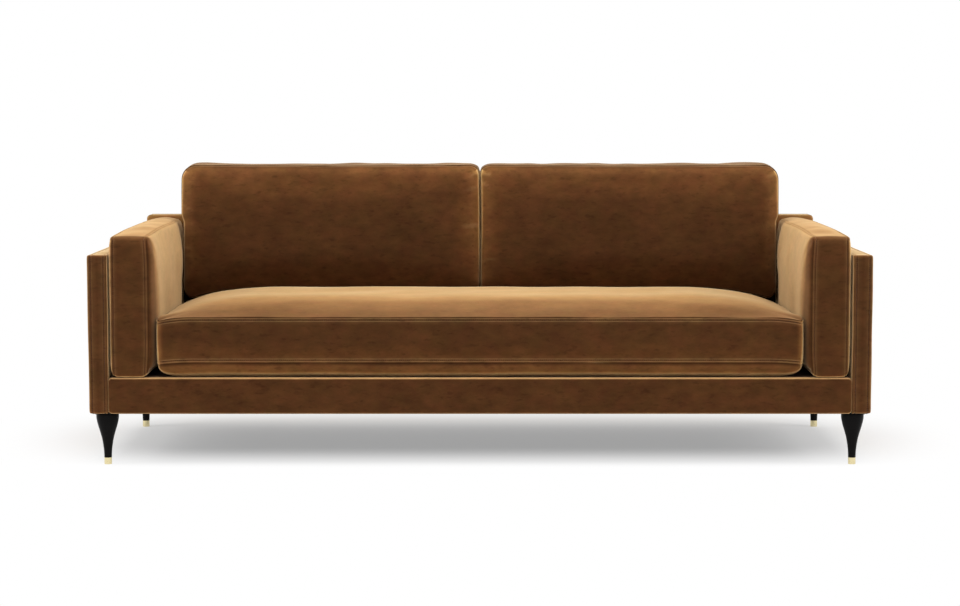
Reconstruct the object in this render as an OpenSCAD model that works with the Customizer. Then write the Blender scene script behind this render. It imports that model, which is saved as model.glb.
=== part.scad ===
// Tuxedo sofa: thin upholstered arm and back panels round a seat box, loose arm, seat and
// back cushions, turned legs with metal caps. Millimetres, +Z up, the front faces -Y.
// The origin lies on the floor under the middle of the sofa.

/* [Overall size] */
// Width over the two arm panels
sofa_w = 2310; // [2150:10:2450]
// Depth from the front of the arm panels to the rear of the back panel
sofa_d = 965; // [925:5:1005]
// Height of the frame's underside above the floor
leg_h = 158; // [138:5:178]
// Height of the front rail's top edge, which is also the top of the seat deck
rail_top = 264; // [254:2:280]
// Height of the arm panels' top edge
arm_top = 628; // [606:2:656]
// Height of the back panel's top edge
back_top = 705; // [690:5:730]

/* [Upholstered panels] */
// Thickness of an arm panel
arm_t = 55; // [50:1:60]
// Thickness of the back panel below the seat deck
back_base_t = 118; // [110:2:126]
// Thickness of the back panel at its top edge
back_top_t = 72; // [66:2:80]
// Padding and cloth over the panels' timber
pad_t = 10; // [8:0.5:12]
// Cloth turned under the panels and the front rail
skin_t = 3; // [2:0.5:4]
// Cloth and padding in front of the front rail's timber
rail_pad_t = 8; // [7:0.5:10]
// Radius of the panels' soft edges
edge_r = 6; // [4:0.5:7]
// Radius of the panels' corners in plan
corner_r = 9; // [8:0.5:12]
// Cloth turned over the ends of the front rail
rail_end_t = 6; // [4:0.5:8]

/* [Seat box] */
// Thickness of the front rail's timber
front_rail_t = 35; // [30:1:40]
// Thickness of the two side rails
side_rail_t = 30; // [25:1:35]
// Thickness of the seat box's back rail
back_rail_t = 25; // [20:1:30]
// Width of the two stretchers under the webbing
stretcher_w = 30; // [25:1:40]
// Width and height of the battens that carry the webbing
batten_w = 22; // [18:1:26]
// Leg length of the corner blocks
block_l = 70; // [50:2:76]
// Width of a webbing strap
strap_w = 70; // [50:2:80]
// Thickness of a webbing strap
strap_t = 2.2; // [1.6:0.2:3]
// Thickness of the seat deck's felt and cloth
deck_t = 6.8; // [5:0.2:9]
// Space between the ends of neighbouring battens, and between crossing straps
joint_gap = 0.3; // [0.2:0.1:0.6]
// Thickness of the dust cover
dust_t = 1; // [0.8:0.1:1.6]
// How far the dust cover laps under the panels
dust_lap = 18; // [12:1:24]

/* [Arm and back timber] */
// Height of an arm's bottom rail
arm_low_h = 80; // [70:2:90]
// Height of an arm's top rail
arm_high_h = 50; // [40:2:60]
// Width of the arm posts
arm_post_w = 60; // [50:2:70]
// Height of the back panel's lower rail
back_low_h = 130; // [124:2:140]
// Height of the back panel's top rail
back_high_h = 60; // [50:2:70]
// Thickness of the back posts
back_post_t = 25; // [20:1:30]

/* [Seat cushion] */
// Thickness of the seat cushion over both crowns
seat_cushion_t = 224; // [212:2:236]
// Height of the seat cushion's upper crown
seat_crown = 44; // [36:2:50]
// Depth of the seat cushion's lower crown
seat_belly = 45; // [36:1:48]
// How far in from its ends and front the seat cushion reaches full height
seat_reach = 290; // [240:10:310]
// How far in from the lower seam the seat cushion lies flat
seat_belly_reach = 90; // [70:5:110]
// How far in from its rear edge the seat cushion reaches full height
seat_rear_reach = 290; // [240:10:310]
// How far in from its sides the seat cushion's top reaches full height
seat_side_reach = 400; // [320:10:420]
// How far the seat cushion stands behind the front of the arms
seat_setback = 3; // [1:0.5:8]
// Drop of the seat cushion's upper seam at its corners
seat_droop = 13; // [6:1:16]
// Radius of the seat cushion's corners in plan
seat_corner_r = 24; // [18:1:32]

/* [Back cushions] */
// Height of a back cushion
back_cushion_h = 400; // [380:2:420]
// How far a back cushion's lower outer corner settles beside the seat cushion's crown
back_settle = 30; // [16:2:34]
// Width of the end of a back cushion that settles
back_settle_w = 218; // [180:2:230]
// Height of the part of a back cushion that settles
back_settle_h = 170; // [140:5:200]
// Thickness of a back cushion over both crowns
back_cushion_t = 240; // [222:2:252]
// Sink of a back cushion's front seam at its corners
back_droop = 9; // [4:1:12]
// Depth of a back cushion's front crown
back_crown = 46; // [36:2:54]
// Depth of a back cushion's rear crown
back_rear_crown = 34; // [26:2:40]
// How far in from its edges a back cushion reaches full thickness
back_reach = 128; // [100:4:132]
// Radius of a back cushion's corners
back_corner_r = 45; // [36:1:54]
// Gap between the two back cushions
back_cushion_gap = 3; // [1:0.5:8]

/* [Arm cushions] */
// Height of an arm cushion
arm_cushion_h = 418; // [400:2:436]
// Thickness of an arm cushion over both crowns
arm_cushion_t = 140; // [130:2:150]
// Rise of the middle of an arm cushion's top above its seams
arm_dome = 11; // [5:1:16]
// Rise of the rear of an arm cushion's top above its front
arm_tilt = 5; // [0:1:10]
// Height over which these two rises fade out below the top
arm_rise_h = 100; // [60:10:160]
// Sink of an arm cushion's inner seam at its corners
arm_droop = 5; // [2:0.5:8]
// Depth of an arm cushion's inner crown
arm_crown = 20; // [14:1:24]
// Depth of an arm cushion's outer crown
arm_rear_crown = 9; // [7:1:12]
// How far in from its edges an arm cushion reaches full thickness
arm_reach = 110; // [80:5:130]
// Radius of an arm cushion's corners
arm_corner_r = 26; // [20:1:34]

/* [Cushion details] */
// How far a cushion's boxing swells out past its seams
boxing_swell = 3; // [2:0.5:5]
// How far the middle of a cushion's sides is drawn in
side_draw = 2.5; // [1:0.5:4]
// Least thickness of wadding and cloth over a cushion's foam
wad_t = 26; // [22:1:32]
// Width of the zips
zip_w = 24; // [18:1:28]
// Depth of the channels that hold the zips
zip_slot = 3; // [2.5:0.1:4]
// Thickness of the zip tapes
zip_t = 1.6; // [1.2:0.1:2]
// Length of a zip's slider
slider_l = 14; // [10:1:18]
// Space between the seat cushion and an arm cushion
seat_side_gap = 4; // [2:0.5:8]
// Space between a back cushion and an arm cushion
back_side_gap = 1.5; // [0.5:0.5:6]
// Space between the seat or arm cushions and the back panel
back_gap = 3; // [1:0.5:6]
// Air left where a loose cushion rests on or against its neighbour
rest_gap = 0.3; // [0.2:0.1:0.8]

/* [Legs] */
// Greatest diameter of a leg
leg_d = 67.4; // [62:0.2:70]
// Distance of a leg's axis from the arm panel's outer face
leg_in_x = 44; // [42:1:46]
// Distance of a leg's axis from the front or rear face
leg_in_y = 62; // [56:1:68]
// Height of a leg's metal cap
cap_h = 20; // [16:1:26]
// Thickness of a cap's wall and floor
cap_t = 1.6; // [1.2:0.1:2.2]
// Side of the square leg plates
plate_w = 78; // [76:1:82]
// Thickness of the leg plates
plate_t = 3; // [2:0.5:4]
// Diameter of the stud that a leg screws onto
stud_d = 8; // [6:1:10]
// Length of the stud below its plate
stud_l = 38; // [30:1:45]

/* [Fasteners] */
// Distance of the leg-plate screws from a leg's axis, along each side
screw_pitch = 28; // [26:0.5:29]
// Diameter of the leg-plate screws
screw_d = 4.5; // [4:0.5:5]
// Length of the leg-plate screws above the plate
screw_l = 26; // [20:1:30]
// Diameter of the screw heads
screw_head_d = 9; // [8:0.5:10]
// Height of the screw heads
screw_head_h = 2.4; // [2:0.2:3]
// Diameter of the frame bolts
bolt_d = 8; // [6:1:9]
// Depth of the frame bolts in the panels' timber
bolt_grip = 25; // [18:1:28]
// Width of the frame bolts' hexagon heads across corners
bolt_head_d = 15; // [12:0.5:16]
// Height of the frame bolts' heads
bolt_head_h = 5.3; // [4:0.1:6]
// Diameter of the washers
washer_d = 20; // [17:0.5:22]
// Thickness of the washers
washer_t = 1.5; // [1.2:0.1:2]
// Air round a bolt, screw or stud in its hole
hole_air = 0.2; // [0.1:0.05:0.4]

/* [Hidden] */

fine = 64;
small = 32;

// Shares of a length: block height, zip lengths, lower reach and lower seam's sink
block_share = 0.92;
zip_share = 0.82;
back_zip_share = 0.5;
rear_reach_share = 0.8;
rear_sink_share = 0.6;
core_share = 0.8;
teeth_share = 0.25;
slider_share = 0.4;

// Crowns: power of the sine that a panel rises by, growth of the corner radius inward and its limit
round_rise = 1;
flat_rise = 2.1;
plan_growth = 0.3;
edge_growth = 0.35;
slight_growth = 0.05;
radius_limit = 0.95;

// How far a cutting shape runs past what it cuts
past = corner_r * 3;

half_w = sofa_w / 2;
half_d = sofa_d / 2;
panel_in = half_w - arm_t;

// Seat box levels and lines
strap_top = rail_top - deck_t;
batten_top = strap_top - strap_t;
cross_top = batten_top - strap_t - joint_gap;
batten_low = cross_top - batten_w;
block_h = (batten_low - leg_h) * block_share;
bolt_z = (leg_h + batten_low) / 2;
rail_front = rail_pad_t - half_d;
rail_rear = rail_front + front_rail_t;
back_in = half_d - back_base_t;
box_rear = back_in - back_rail_t;
side_in = panel_in - side_rail_t;
stretcher_x = panel_in / 3;

// Back panel: upright below the deck, raked above it
rake = (back_base_t - back_top_t) / (back_top - rail_top);
function back_face(z) = back_in + max(0, z - rail_top) * rake;
hollow_low = leg_h + skin_t;
back_hollow_top = back_top - pad_t;
back_hollow_rear = half_d - pad_t;
back_hollow_x = panel_in - pad_t;
back_low_top = hollow_low + back_low_h;
back_high_low = back_hollow_top - back_high_h;

// Arm panel hollow
arm_hollow_in = panel_in + pad_t;
arm_hollow_t = arm_t - pad_t - pad_t;
arm_hollow_top = arm_top - pad_t;
arm_low_top = hollow_low + arm_low_h;
arm_high_low = arm_hollow_top - arm_high_h;

// Legs
leg_x = half_w - leg_in_x;
leg_y = half_d - leg_in_y;
leg_top = leg_h - plate_t;
leg_r = leg_d / 2;
tenon_r = leg_r * 0.33 - cap_t;

// Cushions: inner faces and resting heights
cushion_in = panel_in - rest_gap - arm_cushion_t;
seat_half = cushion_in - seat_side_gap;
seat_low = rail_top + rest_gap;
seat_top = seat_low + seat_cushion_t;
seat_front = seat_setback - half_d;
seat_rear = back_in - back_gap;
touch_in = seat_rear - back_face(seat_top) + rest_gap + back_cushion_t - back_crown;
touch_share = min(1, (touch_in - boxing_swell) / seat_rear_reach);
touch_rise = seat_crown * pow(1 - pow(1 - touch_share, 2), flat_rise / 2);
back_low = seat_top - seat_crown + touch_rise - boxing_swell + rest_gap;
back_half = cushion_in - back_side_gap;
back_cushion_w = back_half - back_cushion_gap / 2;
arm_low = rail_top + rest_gap;
arm_front = seat_setback - half_d;
arm_len = back_in - back_gap - arm_front;

// Share tables: radius and height of the leg's outline above its cap, positions of repeats
leg_shares = [
    [0.332, 0], [0.341, 0.076], [0.353, 0.136], [0.368, 0.182], [0.389, 0.227], [0.412, 0.273],
    [0.439, 0.318], [0.469, 0.364], [0.503, 0.409], [0.543, 0.455], [0.591, 0.5], [0.632, 0.538],
    [0.685, 0.583], [0.742, 0.629], [0.798, 0.674], [0.852, 0.72], [0.899, 0.765], [0.941, 0.811],
    [0.975, 0.856], [0.995, 0.894], [1, 0.932], [0.99, 0.962], [0.968, 0.985], [0.93, 1]
];
strap_shares = [-0.44, -0.367, -0.293, -0.22, -0.147, -0.073, 0, 0.073, 0.147, 0.22, 0.293, 0.367, 0.44];
cross_shares = [0.17, 0.39, 0.61, 0.83];
arm_bolt_shares = [0.14, 0.5, 0.86];
back_bolt_shares = [-0.86, -0.3, 0.3, 0.86];
back_strap_shares = [-0.83, -0.66, -0.49, -0.17, 0, 0.17, 0.49, 0.66, 0.83];

leg_colour = [0.06, 0.06, 0.06];
brass = [0.78, 0.66, 0.38];
velvet = [0.33, 0.21, 0.12];
timber = [0.78, 0.66, 0.48];
steel = [0.6, 0.61, 0.63];
jute = [0.72, 0.6, 0.42];
black_cloth = [0.1, 0.1, 0.1];
felt = [0.22, 0.15, 0.1];
foam = [0.93, 0.89, 0.7];
fibre = [0.95, 0.95, 0.93];

// Loops of points that the soft shapes are skinned over

function arc_points(centre, r, from, n) =
    [for (i = [0 : n]) centre + r * [cos(from + 90 * i / n), sin(from + 90 * i / n)]];

function side_points(a, b, n, inward, draw) =
    [for (i = [1 : 1 : n]) let (t = i / (n + 1)) a + (b - a) * t + inward * draw * 4 * t * (1 - t)];

// A rectangle from lo to hi with round corners; n holds the steps in a corner, along u and along v,
// and draws how far the u+, v+, u- and v- sides are drawn in
function loop_points(lo, hi, r, n, draws) = concat(
    arc_points([hi[0] - r, lo[1] + r], r, -90, n[0]),
    side_points([hi[0], lo[1] + r], [hi[0], hi[1] - r], n[2], [-1, 0], draws[0]),
    arc_points([hi[0] - r, hi[1] - r], r, 0, n[0]),
    side_points([hi[0] - r, hi[1]], [lo[0] + r, hi[1]], n[1], [0, -1], draws[1]),
    arc_points([lo[0] + r, hi[1] - r], r, 90, n[0]),
    side_points([lo[0], hi[1] - r], [lo[0], lo[1] + r], n[2], [1, 0], draws[2]),
    arc_points([lo[0] + r, lo[1] + r], r, 180, n[0]),
    side_points([lo[0] + r, lo[1]], [hi[0] - r, lo[1]], n[1], [0, 1], draws[3]));

// A closed body over a stack of loops, with a fan of triangles over each end
module skin(loops, low_mid, high_mid) {
    n = len(loops[0]);
    m = len(loops);
    polyhedron(
        points = concat([for (one = loops) each one], [low_mid, high_mid]),
        faces = concat(
            [for (k = [0 : m - 2], i = [0 : n - 1]) let (j = (i + 1) % n) each
                [[k * n + i, (k + 1) * n + i, (k + 1) * n + j], [k * n + i, (k + 1) * n + j, k * n + j]]],
            [for (i = [0 : n - 1]) [m * n, i, (i + 1) % n]],
            [for (i = [0 : n - 1]) [m * n + 1, (m - 1) * n + (i + 1) % n, (m - 1) * n + i]]));
}

// A block with soft edges all round, between two corners
function block_loop(lo, hi, z, inset) = [for (p = loop_points([lo[0] + inset, lo[1] + inset],
    [hi[0] - inset, hi[1] - inset], corner_r - inset, [4, 0, 0], [0, 0, 0, 0])) [p[0], p[1], z]];
module soft_block(lo, hi) {
    mid = (lo + hi) / 2;
    low = [for (a = [90 : -22.5 : 0])
        block_loop(lo, hi, lo[2] + edge_r * (1 - sin(a)), edge_r * (1 - cos(a)))];
    high = [for (a = [0 : 22.5 : 90])
        block_loop(lo, hi, hi[2] - edge_r * (1 - sin(a)), edge_r * (1 - cos(a)))];
    skin(concat(low, high), [mid[0], mid[1], lo[2]], [mid[0], mid[1], hi[2]]);
}

// Cushions. A form is a list: size in u, v, w; crown below and above; reach of the crown above
// from the u sides, the v- side and the v+ side; reach of the crown below; corner radius; growth of
// that radius inward; seam drop below and above at the corners; sides drawn in; steps round the loop;
// power that the crown above rises by
function near_corner(p, lo, hi, reach) = pow(max(0, 1 - norm([
    min(abs(p[0] - lo[0]), abs(p[0] - hi[0])), min(abs(p[1] - lo[1]), abs(p[1] - hi[1]))]) / reach), 2);

// One loop: its height, its sink at the corners, and its insets from the u, v- and v+ sides
function cushion_loop(f, w, sink, in_u, in_lo, in_hi, draw_share) =
    let (
        half = [f[0][0] / 2, f[0][1] / 2],
        lo = [in_u - half[0], in_lo - half[1]],
        hi = [half[0] - in_u, half[1] - in_hi],
        r = min(f[4] + f[5] * max(0, in_hi), radius_limit * min(hi[0] - lo[0], hi[1] - lo[1]) / 2)
    )
    [for (p = loop_points(lo, hi, r, f[8], f[7] * draw_share))
        [p[0], p[1], w - sink * near_corner(p, lo, hi, f[6][2])]];

function cushion_loops(f) =
    let (
        low_seam = f[1][0],
        high_seam = f[0][2] - f[1][1],
        tall = high_seam - low_seam
    )
    concat(
        [for (a = [90 : -22.5 : 0]) cushion_loop(f, low_seam - f[1][0] * sin(a), f[6][0] * cos(a),
            boxing_swell + f[3] * (1 - cos(a)), boxing_swell + f[3] * (1 - cos(a)),
            boxing_swell + f[3] * (1 - cos(a)), cos(a))],
        [for (t = [0.25 : 0.25 : 0.75]) cushion_loop(
            f, low_seam + tall * t, f[6][0] * (1 - t) + f[6][1] * t,
            boxing_swell * (1 - sin(180 * t)), boxing_swell * (1 - sin(180 * t)),
            boxing_swell * (1 - sin(180 * t)), 1)],
        [for (a = [0 : 15 : 90]) cushion_loop(f, high_seam + f[1][1] * pow(sin(a), f[9]), f[6][1] * cos(a),
            boxing_swell + f[2][0] * (1 - cos(a)), boxing_swell + f[2][1] * (1 - cos(a)),
            boxing_swell + f[2][2] * (1 - cos(a)), cos(a))]);

seat_depth = seat_rear - seat_front;
seat_form = [[seat_half * 2, seat_depth, seat_cushion_t], [seat_belly, seat_crown],
    [seat_side_reach, seat_reach, seat_rear_reach], seat_belly_reach, seat_corner_r, plan_growth,
    [seat_droop / 2, seat_droop, seat_reach / 2],
    [side_draw, 0, side_draw, side_draw], [4, 14, 6], flat_rise];
back_form = [[back_cushion_w, back_cushion_h, back_cushion_t], [back_rear_crown, back_crown],
    [back_reach, back_reach, back_reach], back_reach * rear_reach_share, back_corner_r, slight_growth,
    [-back_droop * rear_sink_share, back_droop, back_reach],
    [side_draw, side_draw, side_draw, 0], [4, 10, 5], round_rise];
arm_form = [[arm_len, arm_cushion_h, arm_cushion_t], [arm_rear_crown, arm_crown],
    [arm_reach, arm_reach, arm_reach], arm_reach, arm_corner_r, edge_growth,
    [-arm_droop * rear_sink_share / 2, arm_droop, arm_reach],
    [side_draw, -side_draw, side_draw, 0], [4, 10, 5], round_rise];

// Seat cushion lies flat: u along X, v along Y, w up
module seat_cushion_shape() {
    loops = [for (one = cushion_loops(seat_form)) [for (p = one)
        [p[0], (seat_front + seat_rear) / 2 + p[1], seat_low + p[2]]]];
    rear_mid = (seat_front + seat_rear) / 2;
    skin(loops, [0, rear_mid, seat_low], [0, rear_mid + (seat_reach - seat_rear_reach) / 2, seat_top]);
}

// Back cushion stands on the seat and leans on the back panel: u along X, v up, w forward.
// Its lower outer corner settles beside the seat cushion's crown
back_mid = (back_cushion_gap / 2 + back_half) / 2;
function settled(x, z) = back_settle * pow(max(0, 1 - (back_half + x) / back_settle_w), 2)
    * pow(max(0, 1 - (z - back_low) / back_settle_h), 2);
function back_point(p) =
    let (x = p[0] - back_mid, high = back_low + back_cushion_h / 2 + p[1], z = high - settled(x, high))
    [x, back_in + (z - rail_top) * rake - rest_gap - p[2], z];
module back_cushion_shape() {
    loops = [for (one = cushion_loops(back_form)) [for (p = one) back_point(p)]];
    skin(loops, back_point([0, 0, 0]), back_point([0, 0, back_cushion_t]));
}

// Arm cushion stands on edge: u back along Y, v up, w inward; its rear end follows the back's rake
// and its top rises between the seams and a little towards the rear
function arm_raised(share, w, deep) = (arm_tilt * share
    + arm_dome * sin(180 * w / arm_cushion_t) * min(1, share * 3)) * pow(max(0, 1 - deep / arm_rise_h), 2);
function arm_point(p) =
    let (
        share = (p[0] + arm_len / 2) / arm_len,
        z = arm_low + arm_cushion_h / 2 + p[1] + arm_raised(max(0, share), p[2], arm_cushion_h / 2 - p[1])
    )
    [p[2] - panel_in + rest_gap, arm_front + arm_len * share + (z - rail_top) * rake * share, z];
module arm_cushion_shape() {
    loops = [for (one = cushion_loops(arm_form)) [for (p = one) arm_point(p)]];
    skin(loops, arm_point([0, 0, 0]), arm_point([0, 0, arm_cushion_t]));
}

// Prisms and fasteners

module box(lo, hi) {
    translate(lo) cube(hi - lo);
}

// An outline in Y and Z, carried along X between two stations
module along_x(from, to, outline) {
    translate([from, 0, 0]) rotate([90, 0, 90]) linear_extrude(height = to - from) polygon(outline);
}

module each_side() {
    children();
    mirror([1, 0, 0]) children();
}

// The leg stations, as places of a front-left original
module at_legs() {
    for (sx = [-1, 1], sy = [-1, 1]) translate([sx * leg_x, sy * leg_y, 0]) children();
}

module at_leg_screws() {
    at_legs() for (sx = [-1, 1], sy = [-1, 1])
        translate([sx * screw_pitch, sy * screw_pitch, 0]) children();
}

module screw_holes() {
    at_leg_screws() translate([0, 0, leg_top])
        cylinder(d = screw_d + hole_air * 2, h = plate_t + screw_l + hole_air, $fn = small);
}

// Bolts run outward along X from inside the seat box
module at_arm_bolts() {
    for (s = arm_bolt_shares) translate([-side_in, rail_rear + (box_rear - rail_rear) * s, bolt_z])
        rotate([0, -90, 0]) children();
}

// Bolts run rearward along Y from inside the seat box
module at_back_bolts() {
    for (s = back_bolt_shares) translate([side_in * s, box_rear, bolt_z]) rotate([-90, 0, 0]) children();
}

arm_bolt_l = side_rail_t + pad_t + bolt_grip;
back_bolt_l = back_rail_t + pad_t + bolt_grip;

module bolt(length) {
    translate([0, 0, -washer_t]) cylinder(d = bolt_d, h = length + washer_t, $fn = small);
    translate([0, 0, -washer_t]) cylinder(d = washer_d, h = washer_t, $fn = small);
    translate([0, 0, -washer_t - bolt_head_h]) cylinder(d = bolt_head_d, h = bolt_head_h, $fn = 6);
}

module bolt_hole(length) {
    translate([0, 0, -washer_t])
        cylinder(d = bolt_d + hole_air * 2, h = length + washer_t + hole_air, $fn = small);
}

// Seat box

module front_rail() {
    color(timber) difference() {
        box([rail_end_t - panel_in, rail_front, hollow_low], [panel_in - rail_end_t, rail_rear, strap_top]);
        screw_holes();
    }
}

module back_rail() {
    color(timber) difference() {
        box([-panel_in, box_rear, leg_h], [panel_in, back_in, strap_top]);
        at_back_bolts() bolt_hole(back_bolt_l);
        screw_holes();
    }
}

module left_side_rail() {
    color(timber) difference() {
        box([-panel_in, rail_rear, leg_h], [-side_in, box_rear, strap_top]);
        at_arm_bolts() bolt_hole(arm_bolt_l);
        screw_holes();
    }
}

module right_side_rail() {
    mirror([1, 0, 0]) left_side_rail();
}

module seat_stretchers() {
    color(timber) each_side() translate([stretcher_x - stretcher_w / 2, rail_rear, leg_h])
        cube([stretcher_w, box_rear - rail_rear, block_h]);
}

module corner_blocks() {
    color(timber) each_side() {
        translate([0, 0, leg_h]) linear_extrude(height = block_h)
            polygon([[side_in, rail_rear], [side_in, rail_rear + block_l], [side_in - block_l, rail_rear]]);
        translate([0, 0, leg_h]) linear_extrude(height = block_h)
            polygon([[side_in, box_rear], [side_in - block_l, box_rear], [side_in, box_rear - block_l]]);
    }
}

module webbing_battens() {
    color(timber) {
        box([-side_in, rail_rear, batten_top - batten_w], [side_in, rail_rear + batten_w, batten_top]);
        box([-side_in, box_rear - batten_w, batten_top - batten_w], [side_in, box_rear, batten_top]);
        each_side() box([side_in - batten_w, rail_rear + batten_w + joint_gap, batten_low],
            [side_in, box_rear - batten_w - joint_gap, cross_top]);
    }
}

module seat_webbing() {
    span = box_rear - rail_rear;
    color(jute) {
        for (s = strap_shares) translate([panel_in * 2 * s - strap_w / 2, rail_rear, batten_top])
            cube([strap_w, span, strap_t]);
        for (s = cross_shares) translate([-side_in, rail_rear + span * s - strap_w / 2, cross_top])
            cube([side_in * 2, strap_w, strap_t]);
    }
}

module seat_deck() {
    color(felt) box([-panel_in, rail_rear, strap_top], [panel_in, back_in, rail_top]);
}

module dust_cover() {
    wide = panel_in + dust_lap;
    opening = plate_w + dust_lap / 3;
    color(black_cloth) difference() {
        box([-wide, rail_front, leg_h - dust_t], [wide, back_in + dust_lap, leg_h]);
        at_legs() translate([0, 0, leg_h]) cube([opening, opening, past], center = true);
    }
}

module front_rail_cover() {
    color(velvet) difference() {
        soft_block([-panel_in, -half_d, leg_h], [panel_in, rail_rear + past, rail_top]);
        box([-panel_in - past, rail_rear, leg_h - past],
            [panel_in + past, rail_rear + past + past, rail_top + past]);
        box([rail_end_t - panel_in, rail_front, hollow_low],
            [panel_in - rail_end_t, rail_rear + past, strap_top]);
        screw_holes();
    }
}

// Arm panels

module left_arm_posts() {
    run = back_hollow_rear * 2 - arm_post_w;
    color(timber) for (s = [0, 0.5, 1])
        translate([-arm_hollow_in - arm_hollow_t, run * s - back_hollow_rear, arm_low_top])
            cube([arm_hollow_t, arm_post_w, arm_high_low - arm_low_top]);
}

module left_arm_top_rail() {
    color(timber) translate([-arm_hollow_in - arm_hollow_t, -back_hollow_rear, arm_high_low])
        cube([arm_hollow_t, back_hollow_rear * 2, arm_high_h]);
}

module left_arm_bottom_rail() {
    color(timber) difference() {
        translate([-arm_hollow_in - arm_hollow_t, -back_hollow_rear, hollow_low])
            cube([arm_hollow_t, back_hollow_rear * 2, arm_low_h]);
        at_arm_bolts() bolt_hole(arm_bolt_l);
        screw_holes();
    }
}

module left_arm_cover() {
    color(velvet) difference() {
        soft_block([-half_w, -half_d, leg_h], [-panel_in, half_d, arm_top]);
        translate([-arm_hollow_in - arm_hollow_t, -back_hollow_rear, hollow_low])
            cube([arm_hollow_t, back_hollow_rear * 2, arm_hollow_top - hollow_low]);
        at_arm_bolts() bolt_hole(arm_bolt_l);
        screw_holes();
    }
}

module right_arm_posts() {
    mirror([1, 0, 0]) left_arm_posts();
}

module right_arm_top_rail() {
    mirror([1, 0, 0]) left_arm_top_rail();
}

module right_arm_bottom_rail() {
    mirror([1, 0, 0]) left_arm_bottom_rail();
}

module right_arm_cover() {
    mirror([1, 0, 0]) left_arm_cover();
}

// Back panel

function timber_face(z) = back_face(z) + pad_t + strap_t;

module back_posts() {
    outline = [[timber_face(back_low_top), back_low_top], [back_hollow_rear, back_low_top],
        [back_hollow_rear, back_high_low], [timber_face(back_high_low), back_high_low]];
    color(timber) each_side() {
        along_x(back_hollow_x - back_post_t, back_hollow_x, outline);
        along_x(stretcher_x - back_post_t / 2, stretcher_x + back_post_t / 2, outline);
    }
}

module back_top_rail() {
    color(timber) along_x(-back_hollow_x, back_hollow_x, [[timber_face(back_high_low), back_high_low],
        [back_hollow_rear, back_high_low], [back_hollow_rear, back_hollow_top],
        [timber_face(back_hollow_top), back_hollow_top]]);
}

module back_lower_rail() {
    color(timber) difference() {
        along_x(-back_hollow_x, back_hollow_x, [
            [back_in + pad_t, hollow_low], [back_hollow_rear, hollow_low],
            [back_hollow_rear, back_low_top], [timber_face(back_low_top), back_low_top],
            [timber_face(rail_top), rail_top], [back_in + pad_t, rail_top]]);
        at_back_bolts() bolt_hole(back_bolt_l);
        screw_holes();
    }
}

module back_webbing() {
    color(jute) for (s = back_strap_shares) translate([back_hollow_x * s, 0, 0])
        along_x(-strap_w / 2, strap_w / 2, [[back_in + pad_t, rail_top], [timber_face(rail_top), rail_top],
            [timber_face(back_hollow_top), back_hollow_top],
            [back_face(back_hollow_top) + pad_t, back_hollow_top]]);
}

function back_loop(z, inset) = [for (p = loop_points(
    [inset - panel_in, back_face(z) + inset], [panel_in - inset, half_d - inset],
    corner_r - inset, [4, 0, 0], [0, 0, 0, 0])) [p[0], p[1], z]];

module back_cover() {
    low = [for (a = [90 : -22.5 : 0]) back_loop(leg_h + edge_r * (1 - sin(a)), edge_r * (1 - cos(a)))];
    high = [for (a = [0 : 22.5 : 90]) back_loop(back_top - edge_r * (1 - sin(a)), edge_r * (1 - cos(a)))];
    mid = half_d - back_top_t / 2;
    color(velvet) difference() {
        skin(concat(low, [back_loop(rail_top, 0)], high), [0, mid, leg_h], [0, mid, back_top]);
        along_x(-back_hollow_x, back_hollow_x, [
            [back_in + pad_t, hollow_low], [back_hollow_rear, hollow_low],
            [back_hollow_rear, back_hollow_top], [back_face(back_hollow_top) + pad_t, back_hollow_top],
            [back_in + pad_t, rail_top]]);
        at_back_bolts() bolt_hole(back_bolt_l);
        screw_holes();
    }
}

// Fasteners

module arm_bolts() {
    color(steel) each_side() at_arm_bolts() bolt(arm_bolt_l);
}

module back_bolts() {
    color(steel) at_back_bolts() bolt(back_bolt_l);
}

module leg_plates() {
    color(steel) at_legs() {
        difference() {
            translate([-plate_w / 2, -plate_w / 2, leg_top]) cube([plate_w, plate_w, plate_t]);
            for (sx = [-1, 1], sy = [-1, 1]) translate([sx * screw_pitch, sy * screw_pitch, leg_top - past])
                cylinder(d = screw_d + hole_air * 2, h = past + past, $fn = small);
        }
        translate([0, 0, leg_top - stud_l]) cylinder(d = stud_d, h = stud_l, $fn = small);
    }
}

module leg_screws() {
    color(steel) at_leg_screws() {
        translate([0, 0, leg_top - screw_head_h]) cylinder(d = screw_head_d, h = screw_head_h, $fn = small);
        translate([0, 0, leg_top - screw_head_h])
            cylinder(d = screw_d, h = screw_head_h + plate_t + screw_l, $fn = small);
    }
}

// Legs

module leg(sx, sy) {
    rise = leg_top - cap_h;
    color(leg_colour) translate([sx * leg_x, sy * leg_y, 0]) difference() {
        rotate_extrude($fn = fine) polygon(concat([[0, cap_t], [tenon_r, cap_t], [tenon_r, cap_h]],
            [for (s = leg_shares) [leg_r * s[0], cap_h + rise * s[1]]], [[0, leg_top]]));
        translate([0, 0, leg_top - stud_l - hole_air])
            cylinder(d = stud_d + hole_air * 2, h = stud_l + past, $fn = small);
    }
}

module cap(sx, sy) {
    color(brass) translate([sx * leg_x, sy * leg_y, 0]) rotate_extrude($fn = fine) polygon([
        [0, 0], [tenon_r + cap_t - cap_t / 3, 0], [tenon_r + cap_t, cap_t / 3], [tenon_r + cap_t, cap_h],
        [tenon_r, cap_h], [tenon_r, cap_t], [0, cap_t]]);
}

module front_left_leg() {
    leg(-1, -1);
}

module front_right_leg() {
    leg(1, -1);
}

module rear_left_leg() {
    leg(-1, 1);
}

module rear_right_leg() {
    leg(1, 1);
}

module front_left_cap() {
    cap(-1, -1);
}

module front_right_cap() {
    cap(1, -1);
}

module rear_left_cap() {
    cap(-1, 1);
}

module rear_right_cap() {
    cap(1, 1);
}

// Seat cushion

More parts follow.
